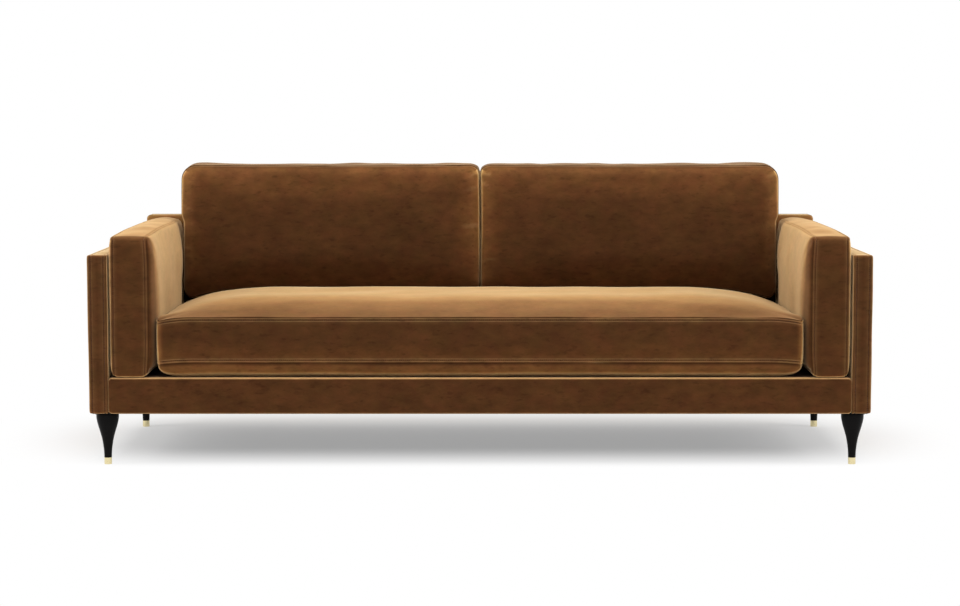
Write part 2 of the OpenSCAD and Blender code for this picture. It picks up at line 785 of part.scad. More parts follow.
module seat_core() {
    box([wad_t - seat_half, seat_front + wad_t, seat_low + seat_belly * core_share],
        [seat_half - wad_t, seat_rear - wad_t, seat_top - seat_crown - seat_droop]);
}

module seat_zip_place() {
    translate([0, seat_rear, seat_low + (seat_cushion_t + seat_belly - seat_crown) / 2]) children();
}

module seat_cushion_cover() {
    color(velvet) difference() {
        seat_cushion_shape();
        seat_core();
        seat_zip_place() zip_channel(seat_half * 2 * zip_share);
    }
}

module seat_cushion_foam() {
    color(foam) seat_core();
}

// A zip lies in its channel: a tape, a raised row of teeth and a slider, along X, facing +Y
module zip(length) {
    teeth_t = zip_t / 3;
    color(black_cloth) {
        translate([-length / 2, -zip_slot, -zip_w / 2]) cube([length, zip_t, zip_w]);
        translate([-length / 2, zip_t - zip_slot, -zip_w * teeth_share / 2])
            cube([length, teeth_t, zip_w * teeth_share]);
        translate([length / 2 - slider_l - slider_l, zip_t - zip_slot + teeth_t, -zip_w * slider_share / 2])
            cube([slider_l, teeth_t, zip_w * slider_share]);
    }
}

module zip_channel(length) {
    translate([-length / 2, -zip_slot, -zip_w / 2]) cube([length, past, zip_w]);
}

module seat_cushion_zip() {
    seat_zip_place() zip(seat_half * 2 * zip_share);
}

// Back cushions

module back_core() {
    z0 = back_low + wad_t;
    z1 = back_low + back_cushion_h - wad_t;
    low = back_in + (z0 - rail_top) * rake - rest_gap;
    high = back_in + (z1 - rail_top) * rake - rest_gap;
    rear_in = back_rear_crown;
    front_in = back_cushion_t - back_crown;
    along_x(wad_t - back_cushion_w / 2 - back_mid, back_cushion_w / 2 - wad_t - back_mid,
        [[low - front_in, z0], [low - rear_in, z0], [high - rear_in, z1], [high - front_in, z1]]);
}

module back_zip_place() {
    rear = back_in + (back_low - rail_top) * rake - rest_gap;
    deep = (back_cushion_t + back_rear_crown - back_crown) / 2;
    translate([-back_mid, rear - deep, back_low]) rotate([-90, 0, 0]) children();
}

module left_back_cushion_cover() {
    color(velvet) difference() {
        back_cushion_shape();
        back_core();
        back_zip_place() zip_channel(back_cushion_w * back_zip_share);
    }
}

module left_back_cushion_filling() {
    color(fibre) back_core();
}

module left_back_cushion_zip() {
    back_zip_place() zip(back_cushion_w * back_zip_share);
}

module right_back_cushion_cover() {
    mirror([1, 0, 0]) left_back_cushion_cover();
}

module right_back_cushion_filling() {
    mirror([1, 0, 0]) left_back_cushion_filling();
}

module right_back_cushion_zip() {
    mirror([1, 0, 0]) left_back_cushion_zip();
}

// Arm cushions

module arm_core() {
    outer = arm_rear_crown + rest_gap - panel_in;
    translate([outer, arm_front + wad_t, arm_low + wad_t])
        cube([arm_cushion_t - arm_rear_crown - arm_crown, arm_len - wad_t * 2, arm_cushion_h - wad_t * 2]);
}

module arm_zip_place() {
    deep = (arm_cushion_t + arm_rear_crown - arm_crown) / 2;
    translate([rest_gap + deep - panel_in, arm_front + arm_len / 2, arm_low])
        rotate([0, 0, 90]) rotate([-90, 0, 0]) children();
}

module left_arm_cushion_cover() {
    color(velvet) difference() {
        arm_cushion_shape();
        arm_core();
        arm_zip_place() zip_channel(arm_len * zip_share);
    }
}

module left_arm_cushion_foam() {
    color(foam) arm_core();
}

module left_arm_cushion_zip() {
    arm_zip_place() zip(arm_len * zip_share);
}

module right_arm_cushion_cover() {
    mirror([1, 0, 0]) left_arm_cushion_cover();
}

module right_arm_cushion_foam() {
    mirror([1, 0, 0]) left_arm_cushion_foam();
}

module right_arm_cushion_zip() {
    mirror([1, 0, 0]) left_arm_cushion_zip();
}

front_rail();
back_rail();
left_side_rail();
right_side_rail();
seat_stretchers();
corner_blocks();
webbing_battens();
seat_webbing();
seat_deck();
dust_cover();
front_rail_cover();
left_arm_posts();
left_arm_top_rail();
left_arm_bottom_rail();
left_arm_cover();
right_arm_posts();
right_arm_top_rail();
right_arm_bottom_rail();
right_arm_cover();
back_posts();
back_top_rail();
back_lower_rail();
back_webbing();
back_cover();
arm_bolts();
back_bolts();
leg_plates();
leg_screws();
front_left_leg();
front_right_leg();
rear_left_leg();
rear_right_leg();
front_left_cap();
front_right_cap();
rear_left_cap();
rear_right_cap();
seat_cushion_cover();
seat_cushion_foam();
seat_cushion_zip();
left_back_cushion_cover();
left_back_cushion_filling();
left_back_cushion_zip();
right_back_cushion_cover();
right_back_cushion_filling();
right_back_cushion_zip();
left_arm_cushion_cover();
left_arm_cushion_foam();
left_arm_cushion_zip();
right_arm_cushion_cover();
right_arm_cushion_foam();
right_arm_cushion_zip();
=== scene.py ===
"""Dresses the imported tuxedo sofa: velvet cushions and panels, lining, legs, caps, floor and light."""
import math
from dataclasses import dataclass

import bpy
import numpy as np
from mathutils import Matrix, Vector

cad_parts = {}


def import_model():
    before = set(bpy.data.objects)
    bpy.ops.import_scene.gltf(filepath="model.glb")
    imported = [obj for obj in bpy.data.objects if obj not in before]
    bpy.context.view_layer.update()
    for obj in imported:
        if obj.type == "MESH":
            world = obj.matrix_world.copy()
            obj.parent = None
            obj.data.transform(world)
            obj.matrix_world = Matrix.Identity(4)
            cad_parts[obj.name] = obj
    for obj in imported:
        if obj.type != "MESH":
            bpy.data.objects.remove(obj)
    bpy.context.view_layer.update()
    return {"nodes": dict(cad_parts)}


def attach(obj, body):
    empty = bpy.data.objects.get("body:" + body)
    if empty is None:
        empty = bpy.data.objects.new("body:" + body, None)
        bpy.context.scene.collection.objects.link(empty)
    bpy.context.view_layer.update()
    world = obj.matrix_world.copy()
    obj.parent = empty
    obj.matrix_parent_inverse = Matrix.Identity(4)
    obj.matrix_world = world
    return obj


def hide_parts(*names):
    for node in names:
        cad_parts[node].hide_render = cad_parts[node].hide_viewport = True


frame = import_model()

# Real sizes of the part, in metres, as its source states them
HALF_W, HALF_D = 1.155, 0.4825
LEG_H, RAIL_TOP, ARM_TOP, BACK_TOP = 0.158, 0.264, 0.628, 0.705
ARM_T, BACK_T, BACK_TOP_T, RAIL_D = 0.055, 0.118, 0.072, 0.043
PANEL_IN = 1.100  # inner face of an arm panel
BACK_IN = 0.3645  # inner face of the back panel, up to the seat deck
RAKE = (BACK_T - BACK_TOP_T) / (BACK_TOP - RAIL_TOP)
GAP = 0.0003  # between a loose cushion and what it stands on or beside
SIDES = ((-1, "left"), (1, "right"))

# ------------------------ materials


def lin(rgb):
    """An sRGB colour of 0 to 255 as linear light."""
    return tuple(c / 255 / 12.92 if c <= 10 else ((c / 255 + 0.055) / 1.055) ** 2.4 for c in rgb)


def material(name, rgb, rough=0.6, metal=0.0, **fixed):
    """A Principled material; fixed values go straight onto the shader's own sockets."""
    m = bpy.data.materials.new(name)
    m.use_nodes = True
    b = m.node_tree.nodes["Principled BSDF"]
    b.inputs["Base Color"].default_value = (*lin(rgb), 1)
    b.inputs["Roughness"].default_value = rough
    b.inputs["Metallic"].default_value = metal
    for k, v in fixed.items():
        b.inputs[k.replace("_", " ")].default_value = v
    m.diffuse_color = (*lin(rgb), 1)
    return m, m.node_tree, b


def node(t, kind, **values):
    """A new node; a value goes to its property of that name or else to its socket."""
    n = t.nodes.new(kind)
    for k, v in values.items():
        if hasattr(n, k):
            setattr(n, k, v)
        else:
            n.inputs[k.replace("_", " ")].default_value = v
    return n


def coords(t, scale):
    tc = node(t, "ShaderNodeTexCoord")
    mp = node(t, "ShaderNodeMapping", Scale=scale)
    t.links.new(tc.outputs["Object"], mp.inputs["Vector"])
    return mp.outputs["Vector"]


def noise(t, scale, detail=3.0, rough=0.55, stretch=(1, 1, 1)):
    n = node(t, "ShaderNodeTexNoise", Scale=scale, Detail=detail, Roughness=rough)
    t.links.new(coords(t, stretch), n.inputs["Vector"])
    return n.outputs["Fac"]


def map_range(t, fac, source, target, **values):
    n = node(t, "ShaderNodeMapRange", From_Min=source[0], From_Max=source[1],
             To_Min=target[0], To_Max=target[1], **values)
    t.links.new(fac, n.inputs["Value"])
    return n.outputs["Result"]


def spread(t, fac, low, high):
    """Maps the middle half of a noise, where nearly all of it lies, onto low to high."""
    return map_range(t, fac, (0.25, 0.75), (low, high))


def math2(t, op, a, b=0.0):
    n = node(t, "ShaderNodeMath", operation=op)
    for k, v in enumerate((a, b)):
        if isinstance(v, (int, float)):
            n.inputs[k].default_value = v
        else:
            t.links.new(v, n.inputs[k])
    return n.outputs[0]


def ramp(t, fac, stops):
    """A colour ramp of linear colours."""
    n = node(t, "ShaderNodeValToRGB")
    e = n.color_ramp.elements
    while len(e) < len(stops):
        e.new(0.5)
    for el, (pos, c) in zip(e, stops):
        el.position, el.color = pos, (*c, 1)
    t.links.new(fac, n.inputs["Fac"])
    return n.outputs["Color"]


def shades(t, fac, *stops):
    """A colour ramp of sRGB colours."""
    return ramp(t, fac, [(pos, lin(rgb)) for pos, rgb in stops])


def times(t, colour, fac):
    """A colour made lighter or darker by a factor."""
    n = node(t, "ShaderNodeVectorMath", operation="SCALE")
    t.links.new(colour, n.inputs[0])
    t.links.new(fac, n.inputs["Scale"])
    return n.outputs[0]


def toned(t, b, rgb, tone):
    """Gives the shader one colour that varies by a tone."""
    flat = node(t, "ShaderNodeRGB")
    flat.outputs[0].default_value = (*lin(rgb), 1)
    t.links.new(times(t, flat.outputs[0], tone), b.inputs["Base Color"])


def bump(t, b, heights):
    """Chains bumps of (height, distance, strength) into the shader's normal."""
    last = None
    for h, dist, strength in heights:
        n = node(t, "ShaderNodeBump", Distance=dist, Strength=strength)
        t.links.new(h, n.inputs["Height"])
        if last is not None:
            t.links.new(last, n.inputs["Normal"])
        last = n.outputs["Normal"]
    t.links.new(last, b.inputs["Normal"])


# Velvet's painted sheen, in its base colour, by how far the cloth is turned from the eye: 0 is looked
# straight into, 1 is seen along the cloth.
# Up to the near turn the face colour only gets lighter, by the lighter factor.
PAINTED_SHEEN_NEAR, PAINTED_SHEEN_LIGHTER = 0.15, 1.16
PAINTED_SHEEN_TURNED = ((0.33, (97, 62, 35)), (0.6, (110, 73, 41)), (0.72, (137, 95, 56)), (0.82, (172, 129, 80)),
               (0.9, (197, 159, 111)), (0.93, (201, 169, 125)), (0.96, (234, 208, 168)))
PAINTED_LIGHT_MOST = 0.9  # the painted light and shade alone make it no lighter than this turn does
SHEEN_TINT = (255, 222, 178)
# colour of the painted highlight along the folds at the seams
PAINTED_FOLD_HIGHLIGHT = (216, 174, 124)
# Sizes of the pile's marks, as noise scales: the first four are shifted from one velvet to the next
BLOT, LEAN, MARK, STROKE, GRAIN, FIBRE = 6.0, 17.0, 34.0, 62.0, 900.0, 1500.0
MARK_STRETCH, STROKE_STRETCH = (0.6, 0.6, 1.1), (0.6, 0.8, 1.5)
# The pale cast of the painted sheen where the cloth is seen at a glance, and dye from red to olive elsewhere
PAINTED_SHEEN_CAST, DYE_RED, DYE_OLIVE = (0.98, 0.965, 0.88), (1.0, 0.93, 0.89), (0.95, 1.0, 0.87)
MIX_FACTOR, MIX_A, MIX_B, MIX_RESULT = 0, 6, 7, 2  # the sockets of a Mix node that mixes colours


def attribute(t, name):
    n = node(t, "ShaderNodeAttribute")
    n.attribute_name = name
    return n.outputs["Fac"]


def velvet(name, face, seed=0.0):
    """Short-pile velvet: dark where it is looked into, with a painted sheen in its colour that is light at a
    glancing angle, painted highlights and shade at the seams, and brushed marks.
    """
    m, t, b = material(name, face, 0.8, Sheen_Weight=0.45, Sheen_Roughness=0.34,
                       Sheen_Tint=(*lin(SHEEN_TINT), 1), Specular_IOR_Level=0.04)
    # painted sheen: the base colour runs from the face colour to pale tan as the cloth turns from the eye
    facing = node(t, "ShaderNodeLayerWeight", Blend=0.5).outputs["Facing"]
    # each piece's painted light and shade shifts that turn, up to a most
    most = math2(t, "MAXIMUM", facing, PAINTED_LIGHT_MOST)
    turned = math2(t, "MINIMUM", math2(t, "ADD", facing, attribute(t, "painted_light_and_shade")), most)
    painted_sheen = shades(t, turned, (0.0, face), (PAINTED_SHEEN_NEAR, [c * PAINTED_SHEEN_LIGHTER for c in face]), *PAINTED_SHEEN_TURNED)
    # the seams: a painted highlight along a fold and painted shade in a stitched groove
    seam = attribute(t, "seam")
    dark = math2(t, "ADD", math2(t, "MINIMUM", seam, 0.0), 1.0)
    fold = node(t, "ShaderNodeMix", data_type="RGBA")
    t.links.new(math2(t, "MAXIMUM", seam, 0.0), fold.inputs[MIX_FACTOR])
    t.links.new(painted_sheen, fold.inputs[MIX_A])
    fold.inputs[MIX_B].default_value = (*lin(PAINTED_FOLD_HIGHLIGHT), 1)
    # brushed marks run across the panels, with small strokes among them
    blot = spread(t, noise(t, BLOT + seed, 2.0, 0.5), 0.88, 1.12)
    marks = spread(t, noise(t, MARK + seed, 4.0, 0.62, MARK_STRETCH), 0.81, 1.25)
    strokes = map_range(t, noise(t, STROKE + seed, 2.0, 0.5, STROKE_STRETCH), (0.28, 0.42), (0.83, 1.03))
    grain = spread(t, noise(t, GRAIN, 2.0, 0.5), 0.92, 1.08)
    tone = math2(t, "MULTIPLY", math2(t, "MULTIPLY", blot, marks), math2(t, "MULTIPLY", grain, strokes))
    # where the painted sheen is light, the marks are fainter
    amount = map_range(t, facing, (0.3, 0.9), (1.2, 0.4))
    tone = math2(t, "ADD", math2(t, "MULTIPLY", math2(t, "SUBTRACT", tone, 1.0), amount), 1.0)
    # the dye leans a little to red or to olive from place to place, and takes the painted sheen's pale cast
    # where the cloth is seen at a glance
    lean = node(t, "ShaderNodeMix", data_type="RGBA")
    t.links.new(amount, lean.inputs[MIX_FACTOR])
    lean.inputs[MIX_A].default_value = (*PAINTED_SHEEN_CAST, 1)
    t.links.new(ramp(t, noise(t, LEAN + seed, 3.0, 0.6), [(0.36, DYE_RED), (0.64, DYE_OLIVE)]),
                lean.inputs[MIX_B])
    tint = node(t, "ShaderNodeVectorMath", operation="MULTIPLY")
    t.links.new(times(t, fold.outputs[MIX_RESULT], math2(t, "MULTIPLY", tone, dark)), tint.inputs[0])
    t.links.new(lean.outputs[MIX_RESULT], tint.inputs[1])
    t.links.new(tint.outputs[0], b.inputs["Base Color"])
    t.links.new(spread(t, noise(t, 60.0, 3.0), 0.72, 0.9), b.inputs["Roughness"])
    bump(t, b, [(noise(t, 14.0 + seed, 3.0, 0.5), 0.0022, 0.3),
                (noise(t, 60.0 + seed, 3.0, 0.55), 0.0008, 0.3),
                (noise(t, FIBRE, 2.0, 0.5), 0.0002, 0.5)])
    return m


WAVE_SCALE = 6.3  # threads per metre for each unit of a wave texture's scale, at two threads to a band


def weave(name, rgb, threads=900.0, rough=0.85, depth=0.0003):
    """A plain woven cloth: two crossing wave fields and uneven yarn."""
    m, t, b = material(name, rgb, rough)
    waves = []
    for axis in ("X", "Y"):
        w = node(t, "ShaderNodeTexWave", Scale=threads / WAVE_SCALE, Distortion=1.2, Detail=2.0,
                 bands_direction=axis)
        t.links.new(coords(t, (1, 1, 1)), w.inputs["Vector"])
        waves.append(w.outputs["Fac"])
    cross = math2(t, "MAXIMUM", *waves)
    toned(t, b, rgb, math2(t, "MULTIPLY", spread(t, noise(t, 40.0, 3.0), 0.8, 1.2),
                           spread(t, cross, 0.75, 1.1)))
    bump(t, b, [(cross, depth, 0.6), (noise(t, 120.0, 3.0), depth * 2, 0.3)])
    return m


def wood():
    m, t, b = material("beech_timber", (196, 160, 112), 0.6)
    grain = noise(t, 26.0, 6.0, 0.65, (0.6, 6.0, 6.0))
    t.links.new(shades(t, grain, (0.25, (152, 112, 68)), (0.5, (196, 160, 112)), (0.78, (218, 188, 142))),
                b.inputs["Base Color"])
    bump(t, b, [(grain, 0.0006, 0.4)])
    return m


def lacquer():
    """Black lacquer over turned wood: faint turning lines and dust in the film."""
    m, t, b = material("black_lacquer", (12, 11, 11), 0.34, IOR=1.16)
    lines = noise(t, 60.0, 4.0, 0.6, (0.4, 0.4, 9.0))
    t.links.new(shades(t, lines, (0.3, (9, 8, 8)), (0.7, (17, 15, 15))), b.inputs["Base Color"])
    t.links.new(spread(t, noise(t, 90.0, 3.0), 0.28, 0.44), b.inputs["Roughness"])
    bump(t, b, [(lines, 0.0002, 0.25)])
    return m


def metal(name, rgb, rough, stretch=(1, 1, 1)):
    """Bare metal with brushed lines, drawn out by the stretch."""
    m, t, b = material(name, rgb, rough, 1.0)
    lines = noise(t, 80.0, 3.0, 0.6, stretch)
    t.links.new(spread(t, lines, rough * 0.8, rough * 1.35), b.inputs["Roughness"])
    toned(t, b, rgb, spread(t, noise(t, 30.0, 4.0), 0.9, 1.06))
    bump(t, b, [(lines, 0.00015, 0.3)])
    return m


def crumb(name, rgb, scale, depth):
    """Foam or loose fibre: soft cells, with painted shade in their hollows."""
    m, t, b = material(name, rgb, 0.95)
    cells = noise(t, scale, 5.0, 0.7)
    t.links.new(shades(t, cells, (0.3, [c * 0.8 for c in rgb]), (0.7, rgb)), b.inputs["Base Color"])
    bump(t, b, [(cells, depth, 0.8)])
    return m


def thread():
    m, t, b = material("seam_thread", (96, 62, 38), 0.6, Sheen_Weight=0.2)
    t.links.new(shades(t, noise(t, 1200.0, 2.0, 0.5), (0.3, (78, 48, 28)), (0.7, (120, 82, 52))),
                b.inputs["Base Color"])
    return m


VELVET = velvet("velvet_pile", (69, 42, 22))
VELVET_PANEL = velvet("velvet_panel", (71, 43, 23), 1.7)
LINING = weave("lining_cloth", (70, 46, 28), 1100.0)
DUST = weave("dust_cloth", (26, 26, 27), 700.0, 0.95)
WEBBING = weave("elastic_webbing", (176, 150, 108), 600.0, 0.8, 0.0006)
TAPE = weave("zip_tape", (40, 30, 24), 1500.0, 0.75)
WOOD, LACQUER, THREAD = wood(), lacquer(), thread()
BRASS = metal("brushed_brass", (232, 218, 172), 0.3, (1.0, 1.0, 30.0))
STEEL = metal("zinc_steel", (176, 178, 182), 0.36)
BLACKED = metal("blackened_steel", (30, 30, 31), 0.5)
FOAM = crumb("foam", (228, 212, 158), 500.0, 0.0006)
FILLING = crumb("fibre_fill", (236, 236, 232), 70.0, 0.003)

BY_LAST_WORD = {"leg": LACQUER, "cap": BRASS, "zip": TAPE, "foam": FOAM, "filling": FILLING,
                "webbing": WEBBING, "bolts": STEEL, "plates": BLACKED, "screws": BLACKED, "deck": LINING}


def node_material(name):
    """The material of a CAD node that stays: timber, where its name says nothing else."""
    last = name.rsplit("_", 1)[-1]
    if name == "dust_cover":
        return DUST
    return BY_LAST_WORD.get(last, VELVET_PANEL if last == "cover" else WOOD)


for name, ob in frame["nodes"].items():
    ob.data.materials.clear()
    ob.data.materials.append(node_material(name))

# ------------------------ soft forms

# Grid rows beside a seam of the boxing, from the seam inward: a raised edge, then the groove of the second
# stitching. At each row the boxing stands out by a share of the ridge's height.
RIDGE_ROWS = (0, .001, .0025, .0055, .007, .008, .009, .0105, .014)
RIDGE_STOPS = RIDGE_ROWS + (.02,)
RIDGE_RISE = (-1.3, 0, 1, 1, 0, -1.3, -.4, .2, .25, 0)
PLAIN_ROWS = (0, .004)
STITCH_ROW = 0.008  # in the groove
SWELL_POWER = 0.6  # how squarely the boxing swells between its seams
EDGE_ROWS = (0, .0012, .0026, .0045, .008, .013, .02)


def stations(length, cell, edge, most=2.5):
    """Grid lines along a side: close together by the seams, even in the middle."""
    e = np.array([x for x in edge if x < length / most])
    inner = np.linspace(e[-1], length - e[-1], max(3, int(round((length - 2 * e[-1]) / cell)) + 1))
    return np.concatenate([e[:-1], inner, (length - e[:-1])[::-1]])


def dome(q):
    """A quarter round that rises from 0 at q = 0 to 1 at q = 1, squared."""
    return 1 - (1 - q) ** 2


@dataclass
class Form:
    """A boxed form: panels below and above, a boxing strip between two seams. Local u, v, w, in metres."""

    size: tuple  # in u, v and w, over both crowns
    crowns: tuple  # heights of the lower and the upper panel's crown
    reach: tuple  # the upper crown's rise takes this far from the u sides, the v- side and the v+ side
    belly_reach: float  # the same for the lower crown, from all sides
    radius: float  # of the corners, seen along w
    grow: float  # growth of that radius per metre inward
    sinks: tuple  # drop of the lower and the upper seam at the corners
    sink_reach: float
    draws: tuple  # how far the sides are drawn in at their middle: u+, v+, u-, v-
    cell: float = 0.008  # spacing of the grid away from the seams
    edge: tuple = EDGE_ROWS  # grid lines beside the seams of the panels
    swell: float = 0.003  # of the boxing past its seams
    rows: object = None  # heights of the boxing's rows, where they aren't worked out
    raise_: float = 0.0011  # height of the ridges along the seams
    ridge: bool = True
    radius_low: float = None  # of the v- corners, where it differs
    radius_in: tuple = None  # sign of the u side with tighter corners, their radius at v+ and at v-
    power: float = 0.5  # of the upper crown's rise; 0.5 is a quarter of an ellipse
    hip: bool = True  # the crown has mitres, as a roof has hips; otherwise its falls are multiplied
    pillow: tuple = None  # further rise of the upper panel, and where in v it is highest, as a share of b
    lit: tuple = (0.3, 0.3)  # seam value at the rim of the lower and the upper panel: painted highlight above 0, painted shade below 0
    lit_reach: float = 0.0022
    lit_ends: float = 1.0  # factor of it on the u sides
    band_lit: float = 0.12  # seam value of the ridges, a painted highlight
    band_edge: tuple = (-0.6, -0.6)  # seam value of the boxing at the lower and the upper seam: painted shade below 0, painted highlight above 0
    groove: float = -0.75  # seam value of the stitched groove, a painted shade
    quiet: float = 1.0  # factor of the boxing's seam values on the v sides

    def __post_init__(self):
        self.a, self.b = self.size[0] / 2, self.size[1] / 2
        self.us = stations(self.size[0], self.cell, self.edge) - self.a
        self.vs = stations(self.size[1], self.cell, self.edge) - self.b
        self.low, self.tall = self.crowns[0], self.size[2] - self.crowns[0] - self.crowns[1]
        self.high = self.size[2] - self.crowns[1]
        if self.rows is None:
            self.rows = stations(self.tall, self.cell, RIDGE_ROWS if self.ridge else PLAIN_ROWS, 2.4)

    def rounded(self, u, v, reach=(1.0, 1.0)):
        """Moves square-cornered grid points onto round-cornered loops, and gives the outward direction."""
        a, b = self.a - self.swell, self.b - self.swell
        radius = np.where(v < 0, self.radius if self.radius_low is None else self.radius_low, self.radius)
        if self.radius_in:
            tight = np.where(v > 0, self.radius_in[1], self.radius_in[2])
            radius = np.where(u * self.radius_in[0] > 0, tight, radius)
        u, v = u * (a / self.a), v * (b / self.b)
        cu, cv = (a - np.abs(u)) / reach[0], (b - np.abs(v)) / reach[1]
        iu, iv = np.minimum(cu, cv) * reach[0], np.minimum(cu, cv) * reach[1]
        r = np.minimum(radius + self.grow * iv, 0.985 * np.minimum(a - iu, b - iv) + 1e-9)
        # each point stays on its loop; those past an arc's start are spread along the arc
        cx, cy = a - iu - r, b - iv - r
        lx, ly = np.abs(u) - cx, np.abs(v) - cy
        corner = (lx > 0) & (ly > 0)
        safe = np.maximum(r, 1e-9)
        t = np.where(cu <= cv, ly / (2 * safe), 1 - lx / (2 * safe))
        ang = np.clip(t, 0, 1) * math.pi / 2
        nu = np.where(corner, cx + r * np.cos(ang), np.abs(u))
        nv = np.where(corner, cy + r * np.sin(ang), np.abs(v))
        nx = np.where(corner, np.cos(ang), (cu <= cv).astype(float))
        ny = np.where(corner, np.sin(ang), (cu > cv).astype(float))
        su, sv = np.where(u < 0, -1, 1), np.where(v < 0, -1, 1)
        return nu * su, nv * sv, nx * su, ny * sv

    def draw(self, u, v):
        """How far a point of the outline is drawn in, as an offset in u and v."""
        a, b = self.a, self.b
        along_v, along_u = 1 - (v / b) ** 2, 1 - (u / a) ** 2
        d = self.draws
        du = np.where(u > 0, -d[0] * along_v * (u / a) ** 4, d[2] * along_v * (u / a) ** 4)
        dv = np.where(v > 0, -d[1] * along_u * (v / b) ** 4, d[3] * along_u * (v / b) ** 4)
        return du, dv

    def corner_weight(self, u, v):
        d = np.hypot(self.a - np.abs(u), self.b - np.abs(v))
        return np.maximum(0, 1 - d / self.sink_reach) ** 2

    def panel(self, upper):
        """Grid points of the upper or the lower panel."""
        u, v = np.meshgrid(self.us, self.vs, indexing="ij")
        reach = self.reach if upper else (self.belly_reach,) * 3
        q = [(self.a - np.abs(u)) / reach[0], (v + self.b) / reach[1], (self.b - v) / reach[2]]
        q = np.clip(np.minimum(np.minimum(q[0], q[1]), q[2]), 0, 1)
        x, y, _, _ = self.rounded(u, v, reach[:2])
        crown = self.crowns[1] if upper else self.crowns[0]
        if self.hip or not upper:
            rise = crown * np.maximum(0, dome(q)) ** (self.power if upper else 0.5)
        else:
            ends = np.clip((self.a - self.swell - np.abs(x)) / reach[0], 0, 1)
            sides = np.clip((self.b - self.swell - np.abs(y)) / reach[1], 0, 1)
            rise = crown * (dome(ends) * dome(sides)) ** self.power
        if upper and self.pillow:
            top, mid = self.pillow[0], self.pillow[1] * self.b
            away = np.where(v > mid, (v - mid) / (self.b - mid), (mid - v) / (self.b + mid))
            rise = rise + top * (1 - away ** 2) * (1 - (u / self.a) ** 4)
        du, dv = self.draw(u, v)
        sink = self.sinks[1 if upper else 0] * self.corner_weight(u, v) * (1 - q)
        w = (self.high + rise - sink) if upper else (self.low - rise - sink)
        return np.stack([x + du, y + dv, w], -1)

    def perimeter(self):
        """The outline's grid points, counter-clockwise from the corner u-, v-, as index pairs."""
        m, n = len(self.us) - 1, len(self.vs) - 1
        return np.array([(i, 0) for i in range(m)] + [(m, j) for j in range(n)] +
                        [(i, n) for i in range(m, 0, -1)] + [(0, j) for j in range(n, 0, -1)])

    def outline(self):
        """The places of the outline's grid points before their corners are rounded."""
        ring = self.perimeter()
        return self.us[ring[:, 0]], self.vs[ring[:, 1]]

    def boxing(self):
        """Rows of the boxing strip from the lower seam to the upper, the seams included."""
        u, v = self.outline()
        x, y, nx, ny = self.rounded(u, v)
        du, dv = self.draw(u, v)
        cw = self.corner_weight(u, v)
        out = []
        for s in self.rows:
            t = s / self.tall
            o = self.swell * math.sin(math.pi * t) ** SWELL_POWER
            if self.ridge:
                o = o + self.raise_ * np.interp(min(s, self.tall - s), RIDGE_STOPS, RIDGE_RISE)
            w = self.low + self.tall * t - (self.sinks[0] * (1 - t) + self.sinks[1] * t) * cw
            out.append(np.stack([x + du + nx * o, y + dv + ny * o, w], -1))
        return np.array(out), np.stack([nx, ny], -1)

    def seam_values(self, count):
        """The painted highlight (above 0) and painted shade (below 0) at the seams, for each vertex."""
        iu, il, ib = self.grids
        seam = np.zeros(count)
        u, v = np.meshgrid(self.us, self.vs, indexing="ij")
        ends, sides = self.a - np.abs(u), self.b - np.abs(v)
        d = np.minimum(ends, sides)
        share = np.where(ends < sides, self.lit_ends, 1.0) * np.exp(-(d / self.lit_reach) ** 2)
        seam[iu] = self.lit[1] * share
        seam[il] = self.lit[0] * share
        if self.ridge:
            glow = self.band_lit
            for k, s in enumerate(self.rows):
                rim = self.band_edge[0 if s < self.tall / 2 else 1]
                values = (rim, rim / 2, glow, glow, -.2, self.groove, -.3, glow * 1.3, .02, 0)
                seam[ib[k]] = np.interp(min(s, self.tall - s), RIDGE_STOPS, values)
            flat = np.abs(self.outline()[1]) > self.b - 1e-6
            seam[ib] *= np.where(flat, self.quiet, 1.0)
        return seam

    def build(self):
        """Returns vertices and quads, and keeps the index grids of the three sheets."""
        up, low = self.panel(True), self.panel(False)
        box, self.normal = self.boxing()
        ring = self.perimeter()
        m, n = up.shape[:2]
        iu = np.arange(m * n).reshape(m, n)
        il = iu + m * n
        k = len(self.rows)
        ib = np.zeros((k, len(ring)), int)
        ib[0], ib[-1] = il[ring[:, 0], ring[:, 1]], iu[ring[:, 0], ring[:, 1]]
        ib[1:-1] = 2 * m * n + np.arange((k - 2) * len(ring)).reshape(k - 2, len(ring))
        verts = np.concatenate([up.reshape(-1, 3), low.reshape(-1, 3), box[1:-1].reshape(-1, 3)])

        def quads(g):
            return np.stack([g[:-1, :-1], g[1:, :-1], g[1:, 1:], g[:-1, 1:]], -1).reshape(-1, 4)

        wrap = np.concatenate([ib, ib[:, :1]], 1)
        self.grids = (iu, il, ib)
        self.seam = self.seam_values(len(verts))
        return verts, np.concatenate([quads(iu), quads(il)[:, ::-1], quads(wrap)[:, [0, 3, 2, 1]]])


def mesh_object(name, verts, faces, mat):
    me = bpy.data.meshes.new(name)
    me.vertices.add(len(verts))
    me.vertices.foreach_set("co", np.asarray(verts, np.float32).ravel())
    me.loops.add(faces.size)
    me.loops.foreach_set("vertex_index", faces.ravel().astype(np.int32))
    me.polygons.add(len(faces))
    me.polygons.foreach_set("loop_start", np.arange(0, faces.size, faces.shape[1], dtype=np.int32))
    me.polygons.foreach_set("use_smooth", np.ones(len(faces), bool))
    me.update(calc_edges=True)
    me.validate()
    me.materials.append(mat)
    ob = bpy.data.objects.new(name, me)
    bpy.context.scene.collection.objects.link(ob)
    return ob


